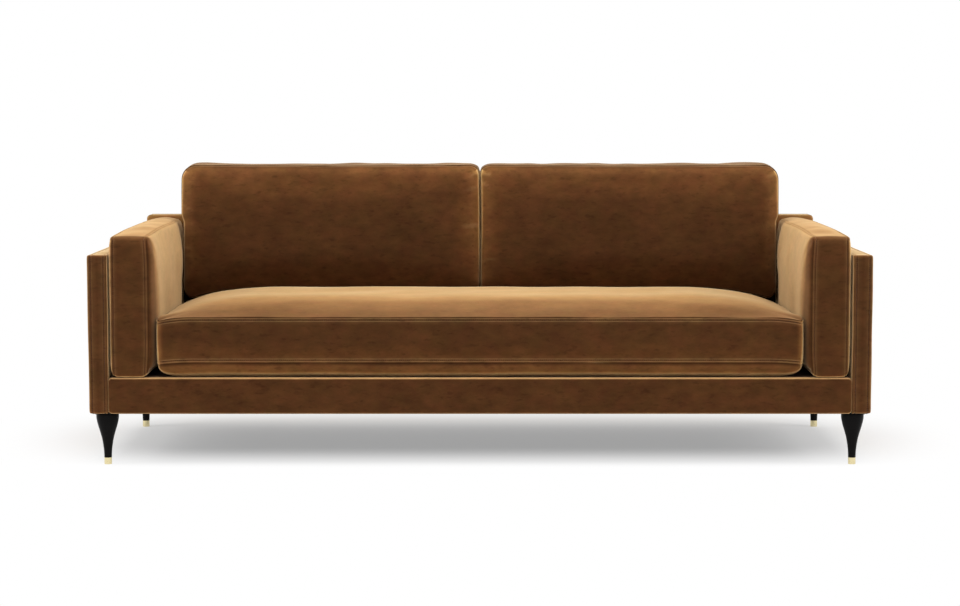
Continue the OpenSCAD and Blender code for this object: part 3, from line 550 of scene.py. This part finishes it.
def cubic(line, xs, at):
    """Smooth interpolation of rows of values at xs, for the places at."""
    i = np.clip(np.searchsorted(xs, at, side="right") - 1, 0, len(xs) - 2)
    t = np.clip((at - xs[i]) / (xs[i + 1] - xs[i]), 0, 1)
    a, b, c, d = (line[np.clip(i + k, 0, len(xs) - 1)] for k in (-1, 0, 1, 2))
    t = t.reshape((len(at),) + (1,) * (line.ndim - 1))
    return b + 0.5 * t * (c - a + t * (2 * a - 5 * b + 4 * c - d + t * (3 * (b - c) + d - a)))


def cubic_grid(field, rows, columns, at_rows, at_columns):
    """Smooth interpolation of a grid of values in both directions."""
    f = cubic(field, rows, at_rows)
    return cubic(f.transpose(1, 0, 2), columns, at_columns).transpose(1, 0, 2)


# The cloth that the cushions are blown up as
CLOTH = dict(quality=6, mass=0.35, air_damping=4.0, tension_stiffness=18, compression_stiffness=18,
             shear_stiffness=8, bending_stiffness=0.6, tension_damping=12, compression_damping=12,
             use_pressure=True, vertex_group_mass="pins", pin_stiffness=1.0)
CLOTH_FRAMES = 18


def simulate(form, cell, pressure, cap, spare):
    """Blows a coarse copy up as cloth held at its seams, and returns it and its three displacement fields."""
    coarse = Form(form.size, form.crowns, form.reach, form.belly_reach, form.radius, form.grow, form.sinks,
                  form.sink_reach, form.draws, cell=cell, edge=(0, cell), swell=form.swell, ridge=False,
                  rows=np.linspace(0, form.tall, max(4, int(round(form.tall / cell)) + 1)))
    v, f = coarse.build()
    ob = mesh_object("sim_cloth", v, f, VELVET)
    iu, il, ib = coarse.grids
    pins = ob.vertex_groups.new(name="pins")
    pins.add([int(x) for x in np.concatenate([ib[0], ib[-1]])], 1.0, "REPLACE")
    mod = ob.modifiers.new("cloth", "CLOTH")
    for key, value in CLOTH.items():
        setattr(mod.settings, key, value)
    mod.settings.uniform_pressure_force = pressure
    mod.settings.shrink_min = -spare
    mod.settings.effector_weights.gravity = 0.0
    mod.collision_settings.use_collision = False
    mod.point_cache.frame_start, mod.point_cache.frame_end = 1, CLOTH_FRAMES + 2
    scene = bpy.context.scene
    for fr in range(1, CLOTH_FRAMES + 1):
        scene.frame_set(fr)
    ev = ob.evaluated_get(bpy.context.evaluated_depsgraph_get())
    co = np.zeros(len(v) * 3, np.float32)
    ev.to_mesh().vertices.foreach_get("co", co)
    ev.to_mesh_clear()
    move = co.reshape(-1, 3).astype(float) - v
    size = np.linalg.norm(move, axis=1, keepdims=True)
    move *= np.minimum(1, cap / np.maximum(size, 1e-9))
    bpy.data.objects.remove(ob)
    scene.frame_set(1)
    return coarse, move[iu], move[il], move[ib]


def evened(field, ring=False, passes=5):
    """Averages a displacement field with its neighbours, its pinned borders kept; a ring closes on itself."""
    for _ in range(passes):
        if ring:
            mean = (field + np.roll(field, 1, 1) + np.roll(field, -1, 1)) / 3
            field[1:-1] = (2 * mean[1:-1] + mean[2:] + mean[:-2]) / 4
        else:
            near = field[2:, 1:-1] + field[:-2, 1:-1] + field[1:-1, 2:] + field[1:-1, :-2]
            field[1:-1, 1:-1] = (2 * field[1:-1, 1:-1] + near) / 6
    return field


KEEP_BOX = 0.3  # share of the cloth's movement that the boxing keeps


def inflate(form, verts, cell, pressure, cap, spare, keep):
    """Carries the simulated cloth's displacement onto the fine mesh."""
    coarse, up, low, box = simulate(form, cell, pressure, cap, spare)
    iu, il, ib = form.grids
    for grid, field in ((iu, evened(up)), (il, evened(low))):
        f = cubic_grid(field, coarse.us, coarse.vs, form.us, form.vs)
        verts[grid.ravel()] += keep * f.reshape(-1, 3)

    def around(fm):
        """Distances along the square outline, back to its start."""
        u, v = fm.outline()
        return np.concatenate([[0], np.cumsum(np.hypot(np.diff(u, append=u[0]), np.diff(v, append=v[0])))])

    box = evened(box, ring=True)
    box = np.concatenate([box, box[:, :1]], 1)
    f = cubic_grid(box, coarse.rows, around(coarse), form.rows, around(form)[:-1])
    verts[ib[1:-1].ravel()] += KEEP_BOX * f[1:-1].reshape(-1, 3)
    return verts


def smooth_noise(p, scale, seed, waves=14):
    """Cheap repeatable noise: a sum of sines in random directions."""
    r = np.random.default_rng(seed)
    out = np.zeros(len(p))
    for _ in range(waves):
        d = r.normal(size=p.shape[1])
        d /= np.linalg.norm(d)
        f = scale * r.uniform(0.5, 1.9)
        out += np.sin(p @ d * f * 2 * math.pi + r.uniform(0, 6.28)) / math.sqrt(waves / 2)
    return out


def pucker(form, verts, depth, length, pitch, seed, glow=0.0):
    """Short creases that run from the seams into the panels, where the sewn cloth is gathered a little."""
    r = np.random.default_rng(seed)
    iu, il, _ = form.grids
    u, v = np.meshgrid(form.us, form.vs, indexing="ij")
    near = np.stack([form.a - np.abs(u), form.b - np.abs(v)])
    side = np.argmin(near, 0)
    d = near.min(0)
    along = np.where(side == 0, v, u)
    key = np.where(side == 0, np.where(u > 0, 0, 1), np.where(v > 0, 2, 3))
    total = np.zeros_like(d)
    for k in range(4):
        span = form.b if k < 2 else form.a
        n = max(2, int(span / pitch))
        places = r.uniform(-span, span, n)
        widths = r.uniform(0.35, 1.0, n) * pitch * 0.3
        heights = r.uniform(0.25, 1.0, n) ** 1.6
        lengths = r.uniform(0.4, 1.0, n) * length
        leans = r.normal(0, 0.35, n)
        for place, width, height, run, lean in zip(places, widths, heights, lengths, leans):
            x = (along - place - lean * d) / width
            across = np.exp(-x * x) - 0.5 * np.exp(-(x * x) / 4)
            total += (key == k) * height * across * np.exp(-((d - run * 0.2) / (run * 0.6)) ** 2)
    total *= np.clip(d / 0.004, 0, 1)
    # a painted highlight on the creases on the u sides, apart from the lowest
    form.seam[iu] += glow * np.clip(total, 0, 1) * (v > -0.6 * form.b) * (side == 0)
    for grid, share in ((iu, 1), (il, -0.6)):
        verts[grid.ravel(), 2] += depth * total.ravel() * share
    return verts


def stitches(name, loops, pitch=0.0058, dash=0.0036, radius=0.00042, keep=None):
    """One mesh of thread dashes in the stitched grooves; loops are world points and outward directions."""
    vs, fs, base = [], [], 0
    for pts, outs in loops:
        p = np.concatenate([pts, pts[:1]])
        o = np.concatenate([outs, outs[:1]])
        step_lengths = np.linalg.norm(np.diff(p, axis=0), axis=1)
        cum = np.concatenate([[0], np.cumsum(step_lengths)])
        n = int(cum[-1] / pitch)
        at = np.arange(n) * (cum[-1] / n)

        def get(arr, x):
            return np.stack([np.interp(x, cum, arr[:, i]) for i in range(3)], -1)

        a, b, out = get(p, at), get(p, np.minimum(at + dash, cum[-1])), get(o, at)
        if keep is not None:
            ok = keep(a)
            a, b, out = a[ok], b[ok], out[ok]
        t = b - a
        t /= np.maximum(np.linalg.norm(t, axis=1, keepdims=True), 1e-9)
        side = np.cross(t, out)
        # each dash is a low bar of four six-cornered rings, the outer two drawn in and dipped into the cloth
        ring = []
        for q, wide, lift in ((a, 0.35, -0.3), (a * 0.75 + b * 0.25, 1.0, 0.7),
                              (a * 0.25 + b * 0.75, 1.0, 0.7), (b, 0.35, -0.3)):
            for ang in range(0, 360, 60):
                c, s = math.cos(math.radians(ang)), math.sin(math.radians(ang))
                ring.append(q + side * (c * radius * wide) + out * (s * radius * wide + radius * lift))
        block = np.stack(ring, 1)
        cell = [(r * 6 + k, r * 6 + (k + 1) % 6, (r + 1) * 6 + (k + 1) % 6, (r + 1) * 6 + k)
                for r in range(3) for k in range(6)]
        cell = np.array(cell + [(0, 5, 4, 3), (0, 3, 2, 1), (18, 19, 20, 21), (18, 21, 22, 23)])
        vs.append(block.reshape(-1, 3))
        fs.append((cell[None] + (np.arange(len(block)) * 24)[:, None, None] + base).reshape(-1, 4))
        base += len(vs[-1])
    return mesh_object(name, np.concatenate(vs), np.concatenate(fs), THREAD)


def painted_light_and_shade_field(form, rule):
    """Painted light and shade: rule shifts the turn for local points of the rear, boxing and face sheets."""
    iu, il, ib = form.grids
    out = np.zeros(len(form.seam))
    u, v = np.meshgrid(form.us, form.vs, indexing="ij")
    ru, rv = form.outline()
    rows = np.repeat(form.rows[:, None] / form.tall, len(ru), 1)
    out[il] = rule("rear", u, v, u * 0)
    out[ib] = rule("boxing", ru + rows * 0, rv + rows * 0, rows)
    out[iu] = rule("face", u, v, u * 0 + 1)
    return out


def step(x, low, high):
    """A smooth change from 0 at low to 1 at high."""
    t = np.clip((x - low) / (high - low), 0, 1)
    return t * t * (3 - 2 * t)


def waved(form, verts, height, scale, seed):
    """Makes the sheets a little uneven."""
    iu, il, ib = form.grids
    pts = verts.copy()
    side = np.concatenate([iu.ravel(), il.ravel()])
    sign = np.concatenate([np.ones(iu.size), -np.ones(il.size)])
    verts[side, 2] += sign * height * smooth_noise(pts[side], scale, seed)
    mid = ib[1:-1]
    n3 = smooth_noise(pts[mid.ravel()], scale * 1.3, seed + 1).reshape(mid.shape)
    fade = np.sin(math.pi * form.rows[1:-1] / form.tall)[:, None]
    for k in (0, 1):
        verts[mid.ravel(), k] += (height * n3 * fade * form.normal[:, k]).ravel()
    return verts


def stitch_loops(form, verts, mapping):
    """The paths of the stitching beside both seams, as world points with outward directions."""
    loops = []
    for target in (STITCH_ROW, form.tall - STITCH_ROW):
        pts = verts[form.grids[2][int(np.argmin(np.abs(form.rows - target)))]]
        a = mapping(pts)
        out = mapping(pts + np.concatenate([form.normal, np.zeros((len(pts), 1))], 1) * 0.001) - a
        loops.append((a, out / np.maximum(np.linalg.norm(out, axis=1, keepdims=True), 1e-9)))
    return loops


def soft(name, body, replaces, form, mapping, mat, wave, sim=None, puckers=None, stitched=True,
         stitch_keep=None, painted_light_and_shade=None):
    """Builds one soft piece in its local frame, maps it into place and says what it stands for."""
    verts, faces = form.build()
    if sim:
        verts = inflate(form, verts, **sim)
    if puckers:
        verts = pucker(form, verts, **puckers)
    verts = waved(form, verts, *wave)
    world = mapping(verts)
    tri = world[faces[:, :3]]
    if np.einsum("ij,ij->i", tri[:, 0], np.cross(tri[:, 1], tri[:, 2])).sum() < 0:
        faces = faces[:, ::-1]
    ob = mesh_object(name, world, faces, mat)
    values = {"seam": form.seam}
    if painted_light_and_shade:
        values["painted_light_and_shade"] = painted_light_and_shade_field(form, painted_light_and_shade)
    for key, value in values.items():
        ob.data.attributes.new(key, "FLOAT", "POINT").data.foreach_set("value", value.astype(np.float32))
    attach(ob, body)
    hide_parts(*replaces)
    if stitched:
        st = stitches(name + "_stitching", stitch_loops(form, verts, mapping), keep=stitch_keep)
        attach(st, body)


# ------------------------ the seat cushion

SEAT_T, SEAT_CROWN, SEAT_REACH = 0.224, 0.044, 0.29
AC_H, AC_T = 0.418, 0.140  # an arm cushion on its edge
BC_H, BC_T, BC_GAP = 0.400, 0.240, 0.003  # a back cushion, and the room between the two
SETBACK = 0.003  # of the cushions' fronts from the frame's front, and of their rears from the back panel
CUSHION_IN = PANEL_IN - GAP - AC_T  # inner face of an arm cushion
SEAT_HALF = CUSHION_IN - 0.004
SEAT_LOW = RAIL_TOP + GAP
SEAT_FRONT, SEAT_REAR = SETBACK - HALF_D, BACK_IN - SETBACK
SEAT_MID = (SEAT_FRONT + SEAT_REAR) / 2
SEAT_DEEP = SEAT_REAR - SEAT_FRONT
SEAT_TOP = SEAT_LOW + SEAT_T


def seat_map(p):
    u, v, w = p.T
    # the front corners reach into the room beside the arm cushions' rounded fronts
    wide = 0.0032 * step(-v, 0.33, 0.39) * step(np.abs(u), 0.88, 0.95)
    # its ends are drawn down between the corners, most of all towards the rear
    fall = np.clip(1 - (SEAT_HALF - np.abs(u)) / 0.14, 0, 1) ** 2 * np.clip(w / 0.18, 0, 1) ** 2
    fall = fall * (0.0085 + 0.005 * step(v, 0.0, 0.3)) * step(v + SEAT_DEEP / 2, 0.04, 0.22)
    return np.stack([u + np.sign(u) * wide, SEAT_MID + v, SEAT_LOW + w - fall], -1)


def seat_painted_light_and_shade(sheet, u, v, w):
    ends, front = SEAT_HALF - np.abs(u), SEAT_DEEP / 2 + v
    if sheet == "face":
        # painted shade towards the ends and towards the front of the top
        return -0.014 - 0.06 * step(ends, 0.26, 0.0) - 0.05 * step(front, 0.16, 0.0)
    if sheet == "rear":
        # painted highlight where the underside turns up to the front, painted shade behind that
        return 0.27 + 0.12 * step(front, 0.003, 0.02) - 0.7 * step(front, 0.024, 0.042)
    # painted highlight on the boxing low on the front and at the front corners
    corner = step(ends, 0.02, 0.0) * step(front, 0.03, 0.0)
    return 0.12 * step(w, 0.6, 0.0) * step(-v, 0.0, 0.2) + 0.28 * corner


soft("seat_cushion_velvet", "seat_cushion", ["seat_cushion_cover"],
     Form(size=(SEAT_HALF * 2, SEAT_DEEP, SEAT_T), crowns=(0.045, SEAT_CROWN),
          reach=(0.32, SEAT_REACH, SEAT_REACH), belly_reach=0.05, radius=0.024, grow=0.42,
          sinks=(0.0065, 0.012), sink_reach=0.10, draws=(0.0025, 0, 0.0025, 0.0025), cell=0.010,
          power=0.95, hip=False, lit=(0.0, -0.5), lit_reach=0.0016),
     seat_map, VELVET, wave=(0.0006, 3.0, 5), painted_light_and_shade=seat_painted_light_and_shade,
     sim=dict(cell=0.016, pressure=1.2, cap=0.004, spare=0.004, keep=0.4),
     puckers=dict(depth=0.0010, length=0.035, pitch=0.05, seed=3))

# ------------------------ the back cushions

BACK_HALF = CUSHION_IN - 0.0015  # outer side of a back cushion
BC_W = BACK_HALF - BC_GAP / 2
BC_MID = (BC_GAP / 2 + BACK_HALF) / 2
BC_SWELL = 0.003  # of the source's boxing
BC_CROWNS, BC_REACH = (0.034, 0.046), 0.128
# They stand where the seat's crown, which falls to the rear, meets their lower front seam
TOUCH_IN = SEAT_REAR - (BACK_IN + (SEAT_TOP - RAIL_TOP) * RAKE) + GAP + BC_T - BC_CROWNS[1]
TOUCH = (TOUCH_IN - BC_SWELL) / SEAT_REACH
BC_LOW = SEAT_TOP - SEAT_CROWN + SEAT_CROWN * dome(TOUCH) ** 1.05 - BC_SWELL + GAP
SETTLE, SETTLE_W, SETTLE_H = 0.042, 0.26, 0.17  # depth, width and height of the settled corner
BULGE, BULGE_FROM, BULGE_FULL = 0.0075, 0.688, 0.716  # how far, and between which heights it comes


def back_map(side):
    def place(p):
        u, v, w = p.T
        z, x = BC_LOW + BC_H / 2 + v, side * BC_MID + u
        # the lower outer corner settles beside the seat's crown
        outer = np.clip(1 - (BACK_HALF - np.abs(x)) / SETTLE_W, 0, 1) ** 2
        z = z - SETTLE * outer * np.clip(1 - (z - BC_LOW) / SETTLE_H, 0, 1) ** 2
        y = BACK_IN + (z - RAIL_TOP) * RAKE - GAP - w
        # the two cushions press on each other along an uneven line
        near = np.maximum(np.abs(x), BC_GAP / 2) * np.sign(side)
        inner = np.abs(near) - BC_GAP / 2
        fade = 1 - step(inner, 0.006, 0.06)
        x = near - side * fade * (0.0012 + 0.44 * np.minimum(inner, 0.012))
        x = x + fade * 0.0011 * np.sin(y * 95 + 0.7)
        # above the arm cushions the outer sides bulge out over them
        end = step(np.abs(x), BACK_HALF - 0.10, BACK_HALF - 0.01)
        x = x + side * BULGE * step(z, BULGE_FROM, BULGE_FULL) * end
        return np.stack([x, y, z], -1)
    return place


def back_painted_light_and_shade(side):
    def rule(sheet, u, v, w):
        ends, top = BC_W / 2 - np.abs(u), BC_H / 2
        if sheet == "rear":
            return 0 * u
        if sheet == "boxing":
            # painted shade along the top of the boxing, a little painted light on the rest
            upper = step(v, top - 0.03, top - 0.002)
            return -0.55 * upper * step(w, 0.02, 0.12) + 0.10 * (1 - upper)
        # painted highlight along the vertical seams, most of all at the middle of the sofa
        inner = u * side < 0
        broad = np.where(inner, 0.17 * step(ends, 0.085, 0.008), 0.20 * step(ends, 0.05, 0.008))
        edge = broad + 0.16 * inner * step(ends, 0.035, 0.006)
        # and painted light towards the top, with painted shade in a fold at the seam itself
        fold = 0.35 * step(v, top - 0.009, top - 0.003)
        rise = edge * step(v, -0.18, 0.02) + 0.035 * step(v, 0.02, 0.16)
        return rise + 0.09 * step(v, top - 0.035, top - 0.012) - fold
    return rule


for side, name in SIDES:
    soft(name + "_back_cushion_velvet", name + "_back_cushion", [name + "_back_cushion_cover"],
         Form(size=(BC_W, BC_H, BC_T), crowns=BC_CROWNS, reach=(BC_REACH,) * 3, belly_reach=BC_REACH * 0.8,
              radius=0.045, radius_low=0.032, radius_in=(-side, 0.034, 0.012), grow=0.05,
              sinks=(-0.0054, 0.009), sink_reach=BC_REACH, draws=(0.0005, 0.0025, 0.0005, 0.0),
              cell=0.0075, swell=0.0045, pillow=(0.020, -0.2), lit=(0.1, 0.08), lit_ends=2.6, quiet=0.6),
         back_map(side), VELVET, wave=(0.0012, 5.0, 21 + side), painted_light_and_shade=back_painted_light_and_shade(side),
         sim=dict(cell=0.012, pressure=1.6, cap=0.006, spare=0.012, keep=0.6),
         puckers=dict(depth=0.0022, length=0.055, pitch=0.034, seed=11 + side, glow=0.3))

# ------------------------ the arm cushions

AC_CROWNS, AC_REACH = (0.009, 0.020), 0.110
AC_LEN = BACK_IN - SETBACK - SEAT_FRONT
AC_RISE, AC_DOME, AC_RISE_H = 0.005, 0.011, 0.1  # of its top: to the rear, between the seams, how far down
AC_CURLS = (0.021, 0.024)  # radii that the lower seams curl up on, outside and inside


def arm_map(side):
    def place(p):
        u, v, w = p.T
        share = (u + AC_LEN / 2) / AC_LEN
        across = np.sin(math.pi * np.clip(w / AC_T, 0, 1))
        z = RAIL_TOP + GAP + AC_H / 2 + v
        deep = AC_H / 2 - v
        back = np.clip(share, 0, 1)
        rise = AC_RISE * back + AC_DOME * across * np.minimum(1, back * 3)
        z = z + rise * np.clip(1 - deep / AC_RISE_H, 0, 1) ** 2
        # the lower seams curl up a little where the cushion stands on the deck
        low = np.clip(1 - (v + AC_H / 2) / 0.07, 0, 1) ** 2
        for bend, depth in zip(AC_CURLS, (w - AC_CROWNS[0], AC_T - AC_CROWNS[1] - w)):
            off = np.maximum(0, bend - np.maximum(depth, 0))
            z = z + low * (bend - np.sqrt(np.maximum(0, bend ** 2 - off ** 2)))
        y = SEAT_FRONT + AC_LEN * share + (z - RAIL_TOP) * RAKE * share
        # it fills the room in front of the back cushion, and is pressed thinner beside it
        pressed = step(y - (z - 0.69) * RAKE, 0.196, 0.216)
        full = step(y, 0.0, 0.14) * step(z, 0.50, 0.56) * (1 - pressed)
        w = w * (1 + 0.022 * full - 0.053 * pressed)
        return np.stack([side * (PANEL_IN - GAP - w), y, z], -1)
    return place


def arm_painted_light_and_shade(sheet, u, v, w):
    front, top = u + AC_LEN / 2, AC_H / 2
    if sheet == "face":
        # painted shade behind the front seam, over a wider strip lower down, and painted light towards the
        # top
        dark = 0.26 * (1 - step(front, 0.006, 0.035 + 0.05 * step(-v, -0.2, 0.2)))
        return -0.01 + 0.04 * step(v, 0.0, 0.10) + 0.03 * step(v, 0.09, 0.18) - dark
    if sheet == "boxing":
        # painted highlight under the front of the boxing, painted shade along its top
        under = 0.5 * (v < 0.001 - top) * step(front, 0.016, 0.008)
        return np.where(v > top - 0.01, -0.06, 0.03) + under
    return 0 * u


for side, name in SIDES:
    soft(name + "_arm_cushion_velvet", name + "_arm_cushion", [name + "_arm_cushion_cover"],
         Form(size=(AC_LEN, AC_H, AC_T), crowns=AC_CROWNS, reach=(AC_REACH,) * 3, belly_reach=AC_REACH,
              radius=0.026, radius_low=0.011, grow=0.35, sinks=(-0.0015, 0.005), sink_reach=AC_REACH,
              draws=(0.0025, -0.0025, 0.0025, 0.0), cell=0.0078, lit=(0.3, 0.0), lit_ends=2.6,
              lit_reach=0.003, band_edge=(0.8, -0.4), groove=-0.5, quiet=0.15, band_lit=0.05),
         arm_map(side), VELVET, wave=(0.0007, 4.0, 41 + side), painted_light_and_shade=arm_painted_light_and_shade,
         sim=dict(cell=0.013, pressure=1.0, cap=0.003, spare=0.006, keep=0.5),
         puckers=dict(depth=0.0010, length=0.05, pitch=0.05, seed=31 + side))

# ------------------------ covers of the panels and the front rail

FLAT = dict(sinks=(0, 0), sink_reach=0.05, draws=(0, 0, 0, 0))  # tight covers keep straight outlines
ARM_TALL, BACK_TALL, RAIL_TALL = ARM_TOP - LEG_H, BACK_TOP - LEG_H, RAIL_TOP - LEG_H
COVER_OFF, COVER_LESS = 0.0046, 0.0022  # how far an arm's cover stands out above, and how much less below
COVER_THICK, COVER_THIN = 0.084, 0.04  # the same as shares of the panel's thickness; its inner face stays


def above_hem(points):
    return points[:, 2] > LEG_H + 0.004


def arm_panel_map(side):
    def place(p):
        u, v, w = p.T
        low = step(-v, -0.2, 0.2)
        x = HALF_W + COVER_OFF - COVER_LESS * low - w * (1 + COVER_THICK - COVER_THIN * low)
        return np.stack([side * x, u, LEG_H + ARM_TALL / 2 + v], -1)
    return place


def back_panel_map(p):
    u, v, w = p.T
    z = LEG_H + BACK_TALL / 2 + v
    front = BACK_IN + np.maximum(0, z - RAIL_TOP) * RAKE
    return np.stack([u, HALF_D - (HALF_D - front) * (w / BACK_T), z], -1)


def back_panel_painted_light_and_shade(sheet, u, v, w):
    """Painted highlight along the top of its front."""
    return 0.7 * step(v, BACK_TALL / 2 - 0.06, BACK_TALL / 2 - 0.02) * (sheet == "face")


def rail_map(p):
    u, v, w = p.T
    return np.stack([u, -HALF_D + RAIL_D - w, LEG_H + RAIL_TALL / 2 + v], -1)


for side, name in SIDES:
    soft(name + "_arm_velvet", "frame", [name + "_arm_cover"],
         Form(size=(HALF_D * 2, ARM_TALL, ARM_T), crowns=(0.0026, 0.0009), reach=(0.03,) * 3,
              belly_reach=0.016, radius=0.009, grow=0.2, cell=0.014, swell=0.0012, raise_=0.0007,
              groove=-0.35, band_lit=0.04, band_edge=(0.3, -0.2), **FLAT),
         arm_panel_map(side), VELVET_PANEL, wave=(0.0004, 4.0, 51 + side), stitch_keep=above_hem)

soft("back_panel_velvet", "frame", ["back_cover"],
     Form(size=(PANEL_IN * 2, BACK_TALL, BACK_T), crowns=(0.004, 0.004), reach=(0.06,) * 3,
          belly_reach=0.06, radius=0.012, grow=0.2, cell=0.018, swell=0.0012, raise_=0.0009, **FLAT),
     back_panel_map, VELVET_PANEL, wave=(0.0004, 3.0, 61), stitch_keep=above_hem, painted_light_and_shade=back_panel_painted_light_and_shade)

# the rail's cloth is wrapped round the timber, with no seam on its face
soft("front_rail_velvet", "frame", ["front_rail_cover"],
     Form(size=(PANEL_IN * 2, RAIL_TALL, RAIL_D), crowns=(0.0045, 0.0055), reach=(0.0055,) * 3,
          belly_reach=0.0045, radius=0.010, grow=-0.5, cell=0.014,
          edge=(0, .001, .0022, .0036, .0052, .0075, .011, .018), swell=0.0004, ridge=False,
          # painted highlights along the rail's top and bottom front edges
          lit=(0.8, 0.8), lit_reach=0.0015, lit_ends=0.3, **FLAT),
     rail_map, VELVET_PANEL, wave=(0.0003, 3.0, 71), stitched=False)

# ------------------------ stage, light and camera

FLOOR_HALF, FLOOR_GREY = 60.0, 0.9
SHADE_HALF, SHADE_Y = 0.88, 0.19  # the line under the sofa that the floor's shade is measured from
SHADE_FROM, SHADE_TO, SHADE_LEAST = 0.25, 0.8, 0.33  # distances of its fade to white, and the share of painted white glow within it, over the floor's real shadow
CAMERA_AHEAD, CAMERA_Z = 7.227, 1.093  # in metres, before the sofa's front and above the floor
CAMERA_DOWN, LENS = 4.79, 92.28  # in degrees and in millimetres


def blend(t, kind, fac, first, second):
    """Ends a shader tree with a mix of two shaders, in an output node of that kind."""
    mix = node(t, "ShaderNodeMixShader")
    t.links.new(fac, mix.inputs["Fac"])
    t.links.new(first.outputs[0], mix.inputs[1])
    t.links.new(second.outputs[0], mix.inputs[2])
    t.links.new(mix.outputs[0], node(t, kind).inputs["Surface"])


def floor():
    """A pale floor that fades to white away from the sofa, as the camera sees it: near the sofa a share of
    painted white glow lifts its real shadow.
    """
    s = FLOOR_HALF
    me = bpy.data.meshes.new("floor")
    me.from_pydata([(-s, -s, 0), (s, -s, 0), (s, s, 0), (-s, s, 0)], [], [(0, 1, 2, 3)])
    ob = bpy.data.objects.new("floor", me)
    bpy.context.scene.collection.objects.link(ob)
    m = bpy.data.materials.new("pale_floor")
    m.use_nodes = True
    t = m.node_tree
    t.nodes.clear()
    dif = node(t, "ShaderNodeBsdfDiffuse", Color=(FLOOR_GREY, FLOOR_GREY, FLOOR_GREY, 1))
    em = node(t, "ShaderNodeEmission", Strength=1.0)
    geo = node(t, "ShaderNodeNewGeometry")
    split = node(t, "ShaderNodeSeparateXYZ")
    t.links.new(geo.outputs["Position"], split.inputs[0])
    past = math2(t, "SUBTRACT", math2(t, "ABSOLUTE", split.outputs["X"]), SHADE_HALF)
    past = math2(t, "MAXIMUM", past, 0.0)
    deep = math2(t, "SUBTRACT", split.outputs["Y"], SHADE_Y)
    away = math2(t, "ADD", math2(t, "MULTIPLY", past, past), math2(t, "MULTIPLY", deep, deep))
    white = map_range(t, math2(t, "SQRT", away), (SHADE_FROM, SHADE_TO), (SHADE_LEAST, 1.0),
                      interpolation_type="SMOOTHSTEP")
    lp = node(t, "ShaderNodeLightPath")
    seen = math2(t, "MAXIMUM", lp.outputs["Is Camera Ray"], lp.outputs["Is Glossy Ray"])
    blend(t, "ShaderNodeOutputMaterial", math2(t, "MULTIPLY", white, seen), dif, em)
    me.materials.append(m)


def world():
    """White where it is looked at, a dimmer warm light otherwise."""
    w = bpy.data.worlds.new("studio")
    bpy.context.scene.world = w
    w.use_nodes = True
    t = w.node_tree
    t.nodes.clear()
    back = node(t, "ShaderNodeBackground", Strength=1.0, Color=(1, 1, 1, 1))
    light = node(t, "ShaderNodeBackground", Strength=0.62, Color=(1.0, 0.985, 0.96, 1))
    lp = node(t, "ShaderNodeLightPath")
    seen = math2(t, "MAXIMUM", lp.outputs["Is Camera Ray"],
                 math2(t, "MAXIMUM", lp.outputs["Is Glossy Ray"], lp.outputs["Is Transmission Ray"]))
    blend(t, "ShaderNodeOutputWorld", seen, light, back)


def lamp(name, place, aim, size, power):
    """A softbox; its power is in watts."""
    data = bpy.data.lights.new(name, "AREA")
    data.shape, data.size, data.size_y, data.energy = "RECTANGLE", size[0], size[1], power
    ob = bpy.data.objects.new(name, data)
    ob.location = place
    ob.rotation_euler = Vector([a - p for a, p in zip(aim, place)]).to_track_quat("-Z", "Y").to_euler()
    ob.visible_camera = False
    bpy.context.scene.collection.objects.link(ob)


def camera():
    c = bpy.data.cameras.new("camera")
    c.sensor_width, c.lens = 36.0, LENS
    c.clip_end = 200.0
    ob = bpy.data.objects.new("camera", c)
    ob.location = (0.0, -(HALF_D + CAMERA_AHEAD), CAMERA_Z)
    ob.rotation_euler = (math.radians(90 - CAMERA_DOWN), 0, 0)
    bpy.context.scene.collection.objects.link(ob)
    bpy.context.scene.camera = ob


floor()
world()
lamp("top_softbox", (0.0, -1.2, 3.3), (0, 0, 0.4), (4.5, 2.0), 84)
lamp("front_fill", (0.0, -4.6, 2.4), (0, 0, 0.4), (4.0, 1.6), 24)
lamp("left_side", (-3.6, -0.6, 1.9), (0, 0, 0.5), (1.8, 1.6), 39)
lamp("right_side", (3.6, -0.6, 1.9), (0, 0, 0.5), (1.8, 1.6), 39)
camera()
bpy.context.scene.view_settings.view_transform = "Standard"
